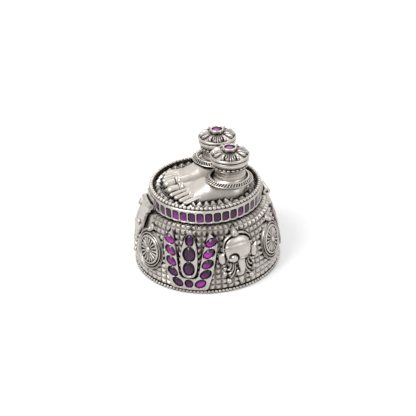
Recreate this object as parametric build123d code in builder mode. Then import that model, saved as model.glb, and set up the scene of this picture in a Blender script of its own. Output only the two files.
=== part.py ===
from build123d import *

import os
from math import atan2, cos, degrees, dist, pi, radians, sin, sqrt

# A round box for vermilion powder: a tapered drum with relief ornaments, a hinged lid that carries
# a pair of feet, and a hinged hasp in front. Millimetres, +Z up, the origin in the middle of the
# foot. The hasp is at -Y and the lid's hinge at +Y.

# Drum
foot_radius = 29.3
foot_bead = 1.5
foot_bead_reach = 1.5
belly_radius = 29.6
knee_radius = 28.6
knee_height = 12.0
shoulder_radius = 25.6
shoulder_height = 24.0
rim_height = 27.7
mouth_lip = 2.2
drum_wall_thickness = 1.2
floor_thickness = 1.0
neck_thickness = 0.8
neck_rise = 1.6

# Pyramid studs on the drum wall's three cones and on the lid's plate
stud_columns = 72
stud_rows = (5, 5, 2)
stud_height = 0.9
stud_tip = 0.3
stud_sink = 0.1
stud_fill = 0.92
stud_clearance = 0.15
stud_field_margin = 2.0
plate_stud_columns = 38
plate_stud_rings = 2
plate_stud_pitch = 3.2

# Lid
seam = 0.3
neck_clearance = 0.35
band_radius = 22.9
band_thickness = 1.55
band_height = 6.0
deck_thickness = 1.0
deck_drop = 0.8
lid_bead_width = 1.4
lid_bead_height = 1.3

# Stones in the lid's band
stone_stations = 42
band_stone_width = 2.8
band_stone_height = 4.2
band_stone_depth = 0.85
band_stone_bevel = 0.35
band_stone_lift = 0.75
stone_margin = 0.15

# Lid hinge
hinge_radius = 1.5
hinge_length = 12.0
hinge_centre_length = 4.0
hinge_rise = 0.6
hinge_leaf_width = 11.2
hinge_leaf_thickness = 0.8
hinge_leaf_drop = 3.2
hinge_pin_radius = 0.65
hinge_pin_inset = 0.7

# Hasp
hasp_radius = 1.3
hasp_width = 10.0
hasp_centre_length = 4.4
hasp_rise = 1.9
hasp_thickness = 1.0
hasp_shoulder = 2.4
hasp_waist = 5.2
hasp_waist_bow = 0.3
hasp_tongue_width = 6.6
hasp_tongue_end = 3.6
hasp_leaf_thickness = 0.8
hasp_pin_radius = 0.55
catch_height = 21.0
catch_radius = 1.7
catch_boss_height = 0.6
catch_clearance = 0.3
knob_radius = 1.15
knob_shank_radius = 0.6

# Lid leaves, shared by the hinge and the hasp bracket
leaf_inset = 0.3
leaf_height = 5.0

# Running and resting clearances
barrel_clearance = 0.25
knuckle_clearance = 0.15
pin_clearance = 0.05

# Relief ornaments on the drum
motif_pitch = 40.0
first_discus = 20.0
motif_sets = 3
sketch_standoff = 10.0
plate_relief = 0.7
raised_relief = 1.4
stone_seat = 0.5
stone_relief = 1.5

discus_height = 13.6
discus_radius = 8.2
discus_ring = 7.3
discus_ring_width = 0.9
discus_wheel = 5.6
discus_wheel_relief = 1.1
discus_hub = 1.1
discus_hub_relief = 1.9
discus_flame_half_width = 1.7
discus_flame_drop = 3.3

conch_tip_drop = 1.3
conch_foot = 2.9
conch_half_width = 5.6
conch_dome = 23.4
conch_belly = 18.5
conch_spout_half_width = 1.9
conch_spout = 8.0
conch_crown_half_width = 1.2
conch_whorl = 1.7
conch_whorl_x = -2.3
conch_whorl_height = 15.5
conch_whorl_relief = 1.9
leaf_tip_x = 8.0
leaf_tip_height = 19.6
leaf_root_x = 3.6
leaf_root_height = 12.4
scroll_x = 5.0
scroll_height = 9.6
scroll_radius = 1.9
scroll_bead_radius = 1.4
scroll_overlap = 0.7

cup_foot = 2.4
cup_foot_half_width = 6.9
cup_half_width = 10.0
cup_widest = 19.0
cup_tip_x = 7.0
cup_tip_drop = 1.7
cup_hollow_foot = 7.2
cup_hollow_half_width = 4.0
cup_hollow_low = 10.0
cup_stone_width = 2.9
cup_stone_height = 3.5
cup_arm_stones = 4
cup_arm_stone_drop = 0.6
cup_corner_stone_x = 4.5
cup_corner_stone_lift = 0.3

flame_foot = 7.6
flame_half_width = 3.2
flame_waist = 20.3
flame_waist_half_width = 2.8
flame_tip_drop = 0.8
back_flame_gap = 0.6
flame_low_stone_width = 4.0
flame_low_stone_height = 4.8
flame_low_stone_corner = 1.3
flame_low_stone_z = 11.5
flame_mid_stone_width = 4.4
flame_mid_stone_height = 5.3
flame_mid_stone_z = 17.3
flame_drop_width = 2.7
flame_drop_height = 3.8
flame_drop_lift = 2.5

# Feet on the lid
foot_gap = 0.1
ankle_x = 8.7
ankle_y = 8.2
ankle_radius = 6.3
ankle_rise = 11.6
heel_radius = 6.4
heel_flare = 8.5
sole_out = 14.0
sole_edge = 0.8
toe_root_y = -9.6
instep_y = -1.0
toe_root_height = 3.4
toe_root_inner = 2.1
instep_height = 6.0
instep_inner = 4.1
heel_inner = 5.0
heel_overrun = 1.0
big_toe_radius = 2.5
big_toe_tip_y = -17.4
big_toe_lift = 1.1
small_toe_radius = 1.45
small_toe_lift = 0.9
small_toe_gap = 0.35
small_toe_step = 1.05
small_toes = 4
toe_overlap = 1.0
toe_ring_thickness = 0.35
toe_ring_width = 1.2
toe_ring_y = -11.0
toe_ring_low = 2.0

# Anklets, collars and caps
anklet_x = 9.5
anklet_radius = 9.3
anklet_top_radius = 8.3
anklet_wall = 1.1
anklet_height = 1.5
anklet_lift = 6.6
anklet_tilt = 1.0
collar_radius = 6.9
collar_height = 1.6
cap_neck_radius = 6.9
cap_lower_radius = 7.7
cap_lower_height = 1.6
cap_groove_radius = 7.45
cap_groove_height = 2.8
cap_radius = 7.85
cap_wide_height = 3.7
cap_dome_radius = 7.3
cap_dome_height = 4.9
cap_top_radius = 3.4
cap_height = 5.5
bezel_radius = 2.75
bezel_height = 1.6
gem_radius = 2.15
gem_height = 1.5
gem_seat = 0.5

# Worked-out places
lid_base = rim_height + seam
band_inner = band_radius - band_thickness
rim_radius = band_radius
mouth_radius = band_inner - neck_clearance
band_top = lid_base + band_height
deck = band_top - deck_drop
hinge_y = band_radius + barrel_clearance + hinge_radius
hinge_z = lid_base + hinge_rise
hasp_y = -(band_radius + barrel_clearance + hasp_radius)
hasp_z = lid_base + hasp_rise
ankle_top = deck + ankle_rise
collar_top = ankle_top + collar_height
cap_top = collar_top + cap_height
big_toe_x = foot_gap + big_toe_radius + toe_ring_thickness
front_y = belly_radius + sketch_standoff
discus_flame_tip = rim_height - discus_flame_drop
conch_tip = rim_height - conch_tip_drop
cup_tip_height = rim_height - cup_tip_drop
flame_tip = rim_height - flame_tip_drop
strap_foot = rim_height - hinge_leaf_drop
set_pitch = 360 / motif_sets
back_flame_tip = strap_foot - back_flame_gap

os.makedirs("parts", exist_ok=True)


def save(piece, name):
    """Label a finished piece and write its own file."""
    piece.part.label = name
    export_step(piece.part, f"parts/{name}.step")


def drum_radius(height):
    """Radius of the bare wall at a height on its two cones."""
    if height < knee_height:
        share = (height - foot_bead) / (knee_height - foot_bead)
        return belly_radius + share * (knee_radius - belly_radius)
    share = (height - knee_height) / (shoulder_height - knee_height)
    return knee_radius + share * (shoulder_radius - knee_radius)


def wall_corners(grow):
    """Corners of the drum wall's outer line from the foot wire to the rim, moved out by grow."""
    return [
        (belly_radius + grow, foot_bead),
        (knee_radius + grow, knee_height),
        (shoulder_radius + grow, shoulder_height),
        (rim_radius + grow, rim_height),
    ]


def wall_line(grow):
    """Outer line of the drum wall, moved out by grow."""
    return Polyline(*wall_corners(grow))


def drum_layer(low, high):
    """Ring of metal over the drum wall, between two heights of relief."""
    with BuildPart() as layer:
        with BuildSketch(Plane.XZ):
            with BuildLine():
                inner = wall_line(low)
                outer = wall_line(high)
                Line(inner @ 0, outer @ 0)
                Line(inner @ 1, outer @ 1)
            make_face()
        revolve(axis=Axis.Z)
    return layer


def relief(outline, high, low=0.0):
    """Outline drawn on the front plane, raised on the drum wall from one height to another."""
    layer = drum_layer(low, high)
    with BuildPart() as piece:
        extrude(outline.sketch, amount=-front_y)
        add(layer.part, mode=Mode.INTERSECT)
    return piece


def turned(piece, angle):
    """Copy of a piece on the front of the drum, turned about the drum's axis."""
    with BuildPart() as copy:
        add(piece.part, rotation=(0, 0, angle))
    return copy


def mirrored(piece):
    """Copy of a right-hand piece for the left-hand side."""
    with BuildPart() as copy:
        add(piece.part)
        mirror(about=Plane.YZ, mode=Mode.REPLACE)
    return copy


front = Plane(origin=(0, -front_y, 0), x_dir=(1, 0, 0), z_dir=(0, -1, 0))
across = Plane.YZ

# Drum wall: a turned shell with a seat for the foot wire and an inward lip at the mouth
bore_radius = foot_radius - drum_wall_thickness
with BuildPart() as drum_wall:
    with BuildSketch(Plane.XZ):
        with BuildLine():
            outside = wall_line(0)
            Polyline((bore_radius, 0), (foot_radius, 0), (foot_radius, foot_bead), outside @ 0)
            Polyline(
                outside @ 1,
                (mouth_radius, rim_height),
                (mouth_radius, rim_height - mouth_lip),
                (shoulder_radius - drum_wall_thickness, shoulder_height),
                (knee_radius - drum_wall_thickness, knee_height),
                (bore_radius, foot_bead),
                (bore_radius, 0),
            )
        make_face()
    revolve(axis=Axis.Z)

# Solid inside the wall's outer line, which trims what is soldered on the shoulder
with BuildPart() as drum_core:
    with BuildSketch(Plane.XZ):
        with BuildLine():
            outside = wall_line(0)
            Polyline(outside @ 1, (0, rim_height), (0, foot_bead), outside @ 0)
        make_face()
    revolve(axis=Axis.Z)

with BuildPart() as drum_floor:
    with BuildSketch():
        Circle(bore_radius)
    extrude(amount=floor_thickness)
save(drum_floor, "drum_floor")

# Foot wire: half round outside, flat against its seat
with BuildPart() as foot_bead_wire:
    with BuildSketch(Plane.XZ):
        with BuildLine():
            straight = foot_radius + foot_bead_reach - foot_bead / 2
            Polyline((straight, 0), (foot_radius, 0), (foot_radius, foot_bead), (straight, foot_bead))
            ThreePointArc(
                (straight, foot_bead),
                (foot_radius + foot_bead_reach, foot_bead / 2),
                (straight, 0),
            )
        make_face()
    revolve(axis=Axis.Z)
save(foot_bead_wire, "foot_bead_wire")

# Neck that guides the lid
with BuildPart() as neck_ring:
    with BuildSketch(Plane.XY.offset(rim_height - mouth_lip)):
        Circle(mouth_radius)
        Circle(mouth_radius - neck_thickness, mode=Mode.SUBTRACT)
    extrude(amount=mouth_lip + neck_rise)
save(neck_ring, "neck_ring")

# Discus: a plain disc with a flame on top, a raised ring, a wheel and a hub
with BuildSketch(front) as discus_outline:
    with Locations((0, discus_height)):
        Circle(discus_radius)
    with BuildLine():
        flame_foot_height = discus_height + sqrt(discus_radius**2 - discus_flame_half_width**2)
        Polyline(
            (-discus_flame_half_width, discus_height),
            (-discus_flame_half_width, flame_foot_height),
            (0, discus_flame_tip),
            (discus_flame_half_width, flame_foot_height),
            (discus_flame_half_width, discus_height),
            close=True,
        )
    make_face()
with BuildSketch(front) as discus_ring_outline:
    with Locations((0, discus_height)):
        Circle(discus_ring)
        Circle(discus_ring - discus_ring_width, mode=Mode.SUBTRACT)
with BuildSketch(front) as discus_wheel_outline:
    with Locations((0, discus_height)):
        Circle(discus_wheel)
with BuildSketch(front) as discus_hub_outline:
    with Locations((0, discus_height)):
        Circle(discus_hub)
discus_ring_relief = relief(discus_ring_outline, raised_relief)
discus_wheel_piece = relief(discus_wheel_outline, discus_wheel_relief)
discus_hub_piece = relief(discus_hub_outline, discus_hub_relief)
discus_plate = relief(discus_outline, plate_relief)
with BuildPart() as discus:
    add(discus_plate.part)
    add(discus_ring_relief.part)
    add(discus_wheel_piece.part)
    add(discus_hub_piece.part)

# Conch: a domed shell with a crown, a whorl and a spout, between leaves and scrolls
with BuildSketch(front) as conch_body_outline:
    with BuildLine():
        right = Spline(
            (conch_crown_half_width, conch_dome),
            (conch_half_width, conch_belly),
            (conch_spout_half_width, conch_spout),
            tangents=((1, 0), (0, -1), (0, -1)),
        )
        Line(right @ 0, (0, conch_tip))
        Line(right @ 1, (0, conch_foot))
        mirror(about=across)
    make_face()
with BuildSketch(front) as conch_wing_outline:
    with BuildLine():
        Spline(
            (leaf_root_x, leaf_root_height),
            (leaf_tip_x, (leaf_root_height + leaf_tip_height) / 2),
            (leaf_tip_x, leaf_tip_height),
        )
        Line((leaf_tip_x, leaf_tip_height), (leaf_root_x, conch_belly))
        Line((leaf_root_x, conch_belly), (leaf_root_x, leaf_root_height))
    make_face()
    with Locations((scroll_x, scroll_height)):
        Circle(scroll_radius)
    with Locations((scroll_x, scroll_height - scroll_radius - scroll_bead_radius + scroll_overlap)):
        Circle(scroll_bead_radius)
    with BuildLine():
        Polyline(
            (0, conch_spout),
            (scroll_x, scroll_height - scroll_radius / 2),
            (leaf_tip_x - scroll_radius / 2, leaf_root_height + scroll_radius),
            (0, conch_belly),
            close=True,
        )
    make_face()
    mirror(about=across)
with BuildSketch(front) as conch_whorl_outline:
    with Locations((conch_whorl_x, conch_whorl_height)):
        Circle(conch_whorl)
conch_body = relief(conch_body_outline, raised_relief)
conch_wings = relief(conch_wing_outline, plate_relief)
conch_whorl_piece = relief(conch_whorl_outline, conch_whorl_relief)
with BuildPart() as conch:
    add(conch_wings.part)
    add(conch_body.part)
    add(conch_whorl_piece.part)


def cup_line(height):
    """Middle of the cup's arm at a height."""
    share = (height - cup_hollow_low) / (cup_tip_height - cup_hollow_low)
    inner = cup_hollow_half_width + share * (cup_tip_x - cup_hollow_half_width)
    return (inner + cup_half_width) / 2


# Cup of the forehead mark: two arms with pointed tips on a flat foot, set with stones
with BuildSketch(front) as cup_outline:
    with BuildLine():
        foot = Line((0, cup_foot), (cup_foot_half_width, cup_foot))
        side = Spline(
            foot @ 1,
            (cup_half_width, cup_widest),
            (cup_tip_x, cup_tip_height),
            tangents=((1, 2), (0, 1), (-1, 1)),
        )
        arm = Line(side @ 1, (cup_hollow_half_width, cup_hollow_low))
        Spline(arm @ 1, (0, cup_hollow_foot), tangents=(arm % 1, (-1, 0)))
        mirror(about=across)
    make_face()

cup_foot_middle = (cup_foot + cup_hollow_foot) / 2
cup_arm_low = cup_hollow_low - cup_arm_stone_drop
cup_arm_step = (cup_tip_height - cup_stone_height - cup_arm_low) / (cup_arm_stones - 1)
cup_stone_places = [(0, cup_foot_middle)]
for side_sign in (-1, 1):
    corner_x = side_sign * cup_corner_stone_x
    cup_stone_places.append((corner_x, cup_foot_middle + cup_corner_stone_lift))
    for step in range(cup_arm_stones):
        arm_height = cup_arm_low + step * cup_arm_step
        cup_stone_places.append((side_sign * cup_line(arm_height), arm_height))
with BuildSketch(front) as cup_stone_outline:
    with Locations(*cup_stone_places):
        Ellipse(cup_stone_width / 2, cup_stone_height / 2)
cup_plate = relief(cup_outline, raised_relief)
cup_pockets = relief(cup_stone_outline, stone_relief, stone_seat)
with BuildPart() as namam_cup:
    add(cup_plate.part)
    add(cup_pockets.part, mode=Mode.SUBTRACT)


def flame_outlines(tip):
    """Outline of the cup's middle flame and of its three stones, up to a tip."""
    with BuildSketch(front) as outline:
        with BuildLine():
            low_side = Spline(
                (0, flame_foot),
                (flame_half_width, (flame_foot + flame_waist) / 2),
                (flame_waist_half_width, flame_waist),
                tangents=((1, 0), (0, 1), (-1, 6)),
            )
            Spline(low_side @ 1, (0, tip), tangents=(low_side % 1, (-1, 2)))
            mirror(about=across)
        make_face()
    drop_scale = (tip - flame_waist) / (flame_tip - flame_waist)
    with BuildSketch(front) as stones:
        with Locations((0, flame_low_stone_z)):
            RectangleRounded(flame_low_stone_width, flame_low_stone_height, flame_low_stone_corner)
        with Locations((0, flame_mid_stone_z)):
            Ellipse(flame_mid_stone_width / 2, flame_mid_stone_height / 2)
        with Locations((0, flame_waist + flame_drop_lift * drop_scale)):
            Ellipse(flame_drop_width / 2 * drop_scale, flame_drop_height / 2 * drop_scale)
    return outline, stones


def set_flame(tip):
    """Middle flame with its pockets, and the stones that fill them."""
    outline, stone_outline = flame_outlines(tip)
    plate = relief(outline, raised_relief)
    stones = relief(stone_outline, stone_relief, stone_seat)
    with BuildPart() as flame:
        add(plate.part)
        add(stones.part, mode=Mode.SUBTRACT)
    return flame, stones


front_flame, front_flame_stones = set_flame(flame_tip)
back_flame, back_flame_stones = set_flame(back_flame_tip)

for index in range(motif_sets):
    number = index + 1
    discus_angle = first_discus + index * set_pitch
    cup_angle = discus_angle + motif_pitch
    at_hinge = abs(cup_angle - 180) < motif_pitch / 2
    save(turned(discus, discus_angle), f"discus_{number}")
    save(turned(conch, cup_angle + motif_pitch), f"conch_{number}")
    save(turned(namam_cup, cup_angle), f"namam_cup_{number}")
    save(turned(cup_pockets, cup_angle), f"namam_cup_stones_{number}")
    flame_here = back_flame if at_hinge else front_flame
    stones_here = back_flame_stones if at_hinge else front_flame_stones
    save(turned(flame_here, cup_angle), f"namam_flame_{number}")
    save(turned(stones_here, cup_angle), f"namam_flame_stones_{number}")

# Catch boss behind the hasp's knob
with BuildSketch(front) as catch_outline:
    with Locations((0, catch_height)):
        Circle(catch_radius)
catch_boss = relief(catch_outline, catch_boss_height)
save(catch_boss, "catch_boss")


def stud(foot, width, length):
    """Pyramid with a worn tip on a foot plane, sunk a little into what carries it."""
    with BuildPart() as piece:
        with BuildSketch(foot.offset(-stud_sink)):
            Rectangle(stud_fill * width, stud_fill * length)
        with BuildSketch(foot.offset(stud_height)):
            Rectangle(stud_tip, stud_tip)
        loft()
    return piece


# Studs on the drum wall, where no motif, hasp or strap covers it
motif_outlines = {
    first_discus: (discus_outline,),
    first_discus + motif_pitch: (cup_outline, flame_outlines(flame_tip)[0]),
    first_discus + 2 * motif_pitch: (conch_body_outline, conch_wing_outline),
}


def clears_motifs(angle, radius, height, width, length):
    """Whether a stud at an angle round the wall stays clear of the motifs' outlines."""
    for motif_angle, outlines in motif_outlines.items():
        offset = (angle - motif_angle + set_pitch / 2) % set_pitch - set_pitch / 2
        if abs(offset) < motif_pitch:
            with BuildSketch(front) as footprint:
                with Locations((radius * sin(radians(offset)), height)):
                    Rectangle(width, length)
            gap = min(footprint.sketch.distance_to(outline.sketch) for outline in outlines)
            if gap < stud_clearance:
                return False
    return True


def clears_fittings(angle, radius, height, width):
    """Whether a stud on the wall stays clear of the hasp in front and of the hinge strap behind."""
    x = abs(radius * sin(radians(angle))) - width / 2
    if cos(radians(angle)) > 0:
        return x > hasp_width / 2 or height < catch_height - hasp_tongue_end - stud_field_margin
    return x > hinge_leaf_width / 2 or height < strap_foot - stud_field_margin


wall_studs = []
corners = wall_corners(0)
for low, high, rows in zip(corners, corners[1:], stud_rows):
    lean = atan2(low[0] - high[0], high[1] - low[1])
    length = dist(low, high) / rows
    for row in range(rows):
        share = (row + 0.5) / rows
        radius = low[0] + share * (high[0] - low[0])
        height = low[1] + share * (high[1] - low[1])
        width = 2 * pi * radius / stud_columns
        row_foot = Plane(origin=(0, -radius, height), x_dir=(1, 0, 0), z_dir=(0, -cos(lean), sin(lean)))
        row_stud = stud(row_foot, width, length)
        for column in range(stud_columns):
            angle = (column + 0.5) * 360 / stud_columns
            bare = clears_fittings(angle, radius, height, width)
            if bare and clears_motifs(angle, radius, height, width, length):
                wall_studs.append(Rot(0, 0, angle) * row_stud.part)
with BuildPart() as studded_wall:
    add(drum_wall.part)
    add(wall_studs)
save(studded_wall, "drum_wall")


def barrel(radius, length, centre):
    """Cylinder along X about a hinge's axis, added to or cut from the part in hand."""
    return centre * Rot(0, 90, 0) * Cylinder(radius, length, mode=Mode.PRIVATE)


def knuckle_pair(radius, length, centre_length, centre):
    """Two outer knuckles, one each side of a centre knuckle and its end clearances."""
    inner_end = centre_length / 2 + knuckle_clearance
    width = length / 2 - inner_end
    shift = inner_end + width / 2
    return [barrel(radius, width, Pos(side * shift, 0, 0) * centre) for side in (-1, 1)]


# Hinge leaf on the drum: a strap on the shoulder with the two outer knuckles
hinge_centre = Pos(0, hinge_y, hinge_z)
hinge_middle_slot = hinge_centre_length + 2 * knuckle_clearance
strap_layer = drum_layer(0, hinge_leaf_thickness)
web_depth = hinge_y - rim_radius
with BuildPart() as hinge_base_leaf:
    with Locations((0, rim_radius + hinge_leaf_thickness, strap_foot)):
        Box(
            hinge_leaf_width,
            2 * (shoulder_radius - rim_radius + hinge_leaf_thickness),
            hinge_leaf_drop,
            align=(Align.CENTER, Align.CENTER, Align.MIN),
        )
    add(strap_layer.part, mode=Mode.INTERSECT)
    add(knuckle_pair(hinge_radius, hinge_length, hinge_centre_length, hinge_centre))
    with Locations((0, hinge_y, hinge_z - hinge_radius / 2)):
        Box(
            hinge_leaf_width,
            web_depth - hinge_leaf_thickness / 2,
            2 * hinge_radius + seam,
            align=(Align.CENTER, Align.MAX, Align.MAX),
        )
    add(drum_core.part, mode=Mode.SUBTRACT)
    add(
        barrel(hinge_radius + barrel_clearance, hinge_middle_slot, hinge_centre),
        mode=Mode.SUBTRACT,
    )
    with Locations((0, hinge_y, hinge_z)):
        Box(
            hinge_middle_slot,
            2 * (hinge_radius + barrel_clearance),
            4 * hinge_radius,
            align=(Align.CENTER, Align.CENTER, Align.MIN),
            mode=Mode.SUBTRACT,
        )
    add(barrel(hinge_pin_radius, hinge_length, hinge_centre), mode=Mode.SUBTRACT)
save(hinge_base_leaf, "hinge_base_leaf")

with BuildPart() as hinge_pin:
    add(barrel(hinge_pin_radius, hinge_length - 2 * hinge_pin_inset, hinge_centre))
save(hinge_pin, "hinge_pin")


def lid_leaf(width, thickness, radius, length, centre_length, pin_radius, centre, side):
    """Leaf on the lid's band with one centre knuckle, cut back from the outer knuckles."""
    with BuildPart() as leaf:
        with BuildSketch(Plane.XY.offset(lid_base + leaf_inset)):
            Circle(band_radius + thickness)
            Circle(band_radius, mode=Mode.SUBTRACT)
            with Locations((0, side * band_radius)):
                Rectangle(width, band_radius, mode=Mode.INTERSECT)
        extrude(amount=leaf_height)
        for cut in knuckle_pair(radius + barrel_clearance, 2 * length, centre_length, centre):
            add(cut, mode=Mode.SUBTRACT)
        add(barrel(radius, centre_length, centre))
        add(barrel(pin_radius + pin_clearance, length, centre), mode=Mode.SUBTRACT)
    return leaf


hinge_lid_leaf = lid_leaf(
    hinge_leaf_width,
    hinge_leaf_thickness,
    hinge_radius,
    hinge_length,
    hinge_centre_length,
    hinge_pin_radius,
    hinge_centre,
    1,
)
save(hinge_lid_leaf, "hinge_lid_leaf")

hasp_centre = Pos(0, hasp_y, hasp_z)
hasp_bracket = lid_leaf(
    hasp_width,
    hasp_leaf_thickness,
    hasp_radius,
    hasp_width,
    hasp_centre_length,
    hasp_pin_radius,
    hasp_centre,
    -1,
)
save(hasp_bracket, "hasp_bracket")

# Hasp: a waisted plate on two knuckles, leaning out to pass over the catch boss
def lean_past_catch(height):
    """Lean that carries the hasp clear of the catch boss at a height."""
    reach = drum_radius(height) + catch_boss_height + catch_clearance + hasp_thickness / 2
    return degrees(atan2(reach + hasp_y, hasp_z - height))


hasp_lean = max(lean_past_catch(catch_height + side * catch_radius) for side in (-1, 1))
hasp_catch_run = (hasp_z - catch_height) / cos(radians(hasp_lean))
hasp_end_run = hasp_catch_run + hasp_tongue_end
hasp_plane = Plane(
    origin=(0, hasp_y, hasp_z),
    x_dir=(1, 0, 0),
    z_dir=(0, -cos(radians(hasp_lean)), sin(radians(hasp_lean))),
)
with BuildPart() as hasp_plate:
    with BuildSketch(hasp_plane):
        with BuildLine():
            Line((-hasp_width / 2, 0), (hasp_width / 2, 0))
            edge = Line((hasp_width / 2, 0), (hasp_width / 2, -hasp_shoulder))
            waist = ThreePointArc(
                edge @ 1,
                (hasp_tongue_width / 2 + hasp_waist_bow, -(hasp_shoulder + hasp_waist) / 2),
                (hasp_tongue_width / 2, -hasp_waist),
            )
            tongue_straight = hasp_end_run - hasp_tongue_width / 2
            tongue = Line(waist @ 1, (hasp_tongue_width / 2, -tongue_straight))
            ThreePointArc(tongue @ 1, (0, -hasp_end_run), (-hasp_tongue_width / 2, -tongue_straight))
            mirror([edge, waist, tongue], about=across)
        make_face()
    extrude(amount=hasp_thickness / 2, both=True)
    add(knuckle_pair(hasp_radius, hasp_width, hasp_centre_length, hasp_centre))
    add(
        barrel(
            hasp_radius + barrel_clearance,
            hasp_centre_length + 2 * knuckle_clearance,
            hasp_centre,
        ),
        mode=Mode.SUBTRACT,
    )
    add(barrel(hasp_pin_radius + pin_clearance, hasp_width, hasp_centre), mode=Mode.SUBTRACT)
    with BuildSketch(hasp_plane):
        with Locations((0, -hasp_catch_run)):
            Circle(knob_shank_radius)
    extrude(amount=hasp_thickness, both=True, mode=Mode.SUBTRACT)
save(hasp_plate, "hasp_plate")

with BuildPart() as hasp_knob:
    with BuildSketch(hasp_plane.offset(-hasp_thickness / 2)):
        with Locations((0, -hasp_catch_run)):
            Circle(knob_shank_radius)
    extrude(amount=hasp_thickness + knob_radius)
    knob_place = hasp_plane.offset(hasp_thickness / 2).location * Pos(0, -hasp_catch_run, 0)
    with Locations(knob_place):
        Sphere(knob_radius, arc_size1=0, align=(Align.CENTER, Align.CENTER, Align.MIN))
save(hasp_knob, "hasp_knob")

# The hasp's pin turns with the hasp's bracket
with BuildPart() as hasp_pin:
    add(barrel(hasp_pin_radius, hasp_width, hasp_centre))
save(hasp_pin, "hasp_pin")


def station_is_free(angle):
    """Whether a stone's station clears the hasp bracket and the hinge leaf."""
    across_x = abs(band_radius * sin(radians(angle)))
    leaf_width = hasp_width if cos(radians(angle)) > 0 else hinge_leaf_width
    return across_x > (leaf_width + band_stone_width) / 2 + stone_margin


# Lid band: a ring with a pocket for each stone
stone_z = lid_base + band_stone_lift + band_stone_height / 2
stone_angles = [360 / stone_stations * index for index in range(stone_stations)]
stone_angles = [angle for angle in stone_angles if station_is_free(angle)]
stone_floor = band_radius - band_stone_depth
stone_places = [Rot(0, 0, angle - 90) * Pos(stone_floor, 0, stone_z) for angle in stone_angles]
with BuildPart() as lid_band:
    with BuildSketch(Plane.XY.offset(lid_base)):
        Circle(band_radius)
        Circle(band_inner, mode=Mode.SUBTRACT)
    extrude(amount=band_height)
    with Locations(*stone_places):
        Box(
            2 * band_stone_depth,
            band_stone_width,
            band_stone_height,
            align=(Align.MIN, Align.CENTER, Align.CENTER),
            mode=Mode.SUBTRACT,
        )
save(lid_band, "lid_band")

with BuildPart() as band_stone:
    Box(
        band_stone_depth,
        band_stone_width,
        band_stone_height,
        align=(Align.MIN, Align.CENTER, Align.CENTER),
    )
    chamfer(band_stone.faces().sort_by(Axis.X)[-1].edges(), band_stone_bevel)
with BuildPart() as band_stones:
    with Locations(*stone_places):
        add(band_stone.part)
save(band_stones, "band_stones")

with BuildPart() as lid_plate:
    with BuildSketch(Plane.XY.offset(deck - deck_thickness)):
        Circle(band_inner)
    extrude(amount=deck_thickness)

# Beaded wire on the band's top face
bead_middle = (band_inner + band_radius) / 2
with BuildPart() as lid_bead_wire:
    with BuildSketch(Plane.XZ):
        with BuildLine():
            bead_side = lid_bead_height - lid_bead_width / 2
            low = (bead_middle - lid_bead_width / 2, band_top + bead_side)
            high = (bead_middle + lid_bead_width / 2, band_top + bead_side)
            Polyline(low, (low[0], band_top), (high[0], band_top), high)
            ThreePointArc(high, (bead_middle, band_top + lid_bead_height), low)
        make_face()
    revolve(axis=Axis.Z)
save(lid_bead_wire, "lid_bead_wire")

# Right foot: instep and heel, cut by the anklet's seat, then the ankle and five toes
anklet_seat = Plane(
    origin=(anklet_x, ankle_y, deck + anklet_lift),
    x_dir=(1, 0, 0),
    z_dir=(0, -sin(radians(anklet_tilt)), cos(radians(anklet_tilt))),
)


def instep_section(place_y, height, inner_height):
    """Cross-section of the foot at a place along Y: a straight inner side and a crowned top."""
    with BuildSketch(Plane.XZ.offset(-place_y)) as section:
        with BuildLine():
            inner = deck + inner_height
            Polyline((foot_gap, inner), (foot_gap, deck), (sole_out, deck), (sole_out, deck + sole_edge))
            ThreePointArc(
                (sole_out, deck + sole_edge),
                ((foot_gap + sole_out) / 2, deck + height),
                (foot_gap, inner),
            )
        make_face()
    return section


toe_root_section = instep_section(toe_root_y, toe_root_height, toe_root_inner)
instep_front_section = instep_section(instep_y, instep_height, instep_inner)
instep_back_section = instep_section(ankle_y, anklet_lift, heel_inner)
toe_places = [(big_toe_x, big_toe_tip_y, big_toe_radius, big_toe_lift)]
for order in range(small_toes):
    toe_x = big_toe_x + big_toe_radius + small_toe_radius - small_toe_gap
    toe_x += order * (2 * small_toe_radius - small_toe_gap)
    toe_tip = big_toe_tip_y + (order + 0.5) * small_toe_step
    toe_places.append((toe_x, toe_tip, small_toe_radius, small_toe_lift))

with BuildPart() as right_foot:
    loft([toe_root_section.sketch, instep_front_section.sketch, instep_back_section.sketch], ruled=True)
    with Locations((ankle_x, ankle_y, deck)):
        Cone(
            heel_radius,
            heel_flare,
            anklet_lift + heel_overrun,
            align=(Align.CENTER, Align.CENTER, Align.MIN),
        )
    split(bisect_by=anklet_seat, keep=Keep.BOTTOM)
    with Locations((ankle_x, ankle_y, deck)):
        Cylinder(ankle_radius, ankle_rise, align=(Align.CENTER, Align.CENTER, Align.MIN))
    for toe_x, toe_tip, toe_radius, toe_lift in toe_places:
        toe_run = toe_root_y + toe_overlap - toe_tip - toe_radius
        with Locations(Pos(toe_x, toe_tip + toe_radius, deck + toe_lift) * Rot(-90, 0, 0)):
            Cylinder(toe_radius, toe_run, align=(Align.CENTER, Align.CENTER, Align.MIN))
            Sphere(toe_radius)
    split(bisect_by=Plane.XY.offset(deck), keep=Keep.TOP)
left_foot = mirrored(right_foot)
save(right_foot, "right_foot")
save(left_foot, "left_foot")

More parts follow.
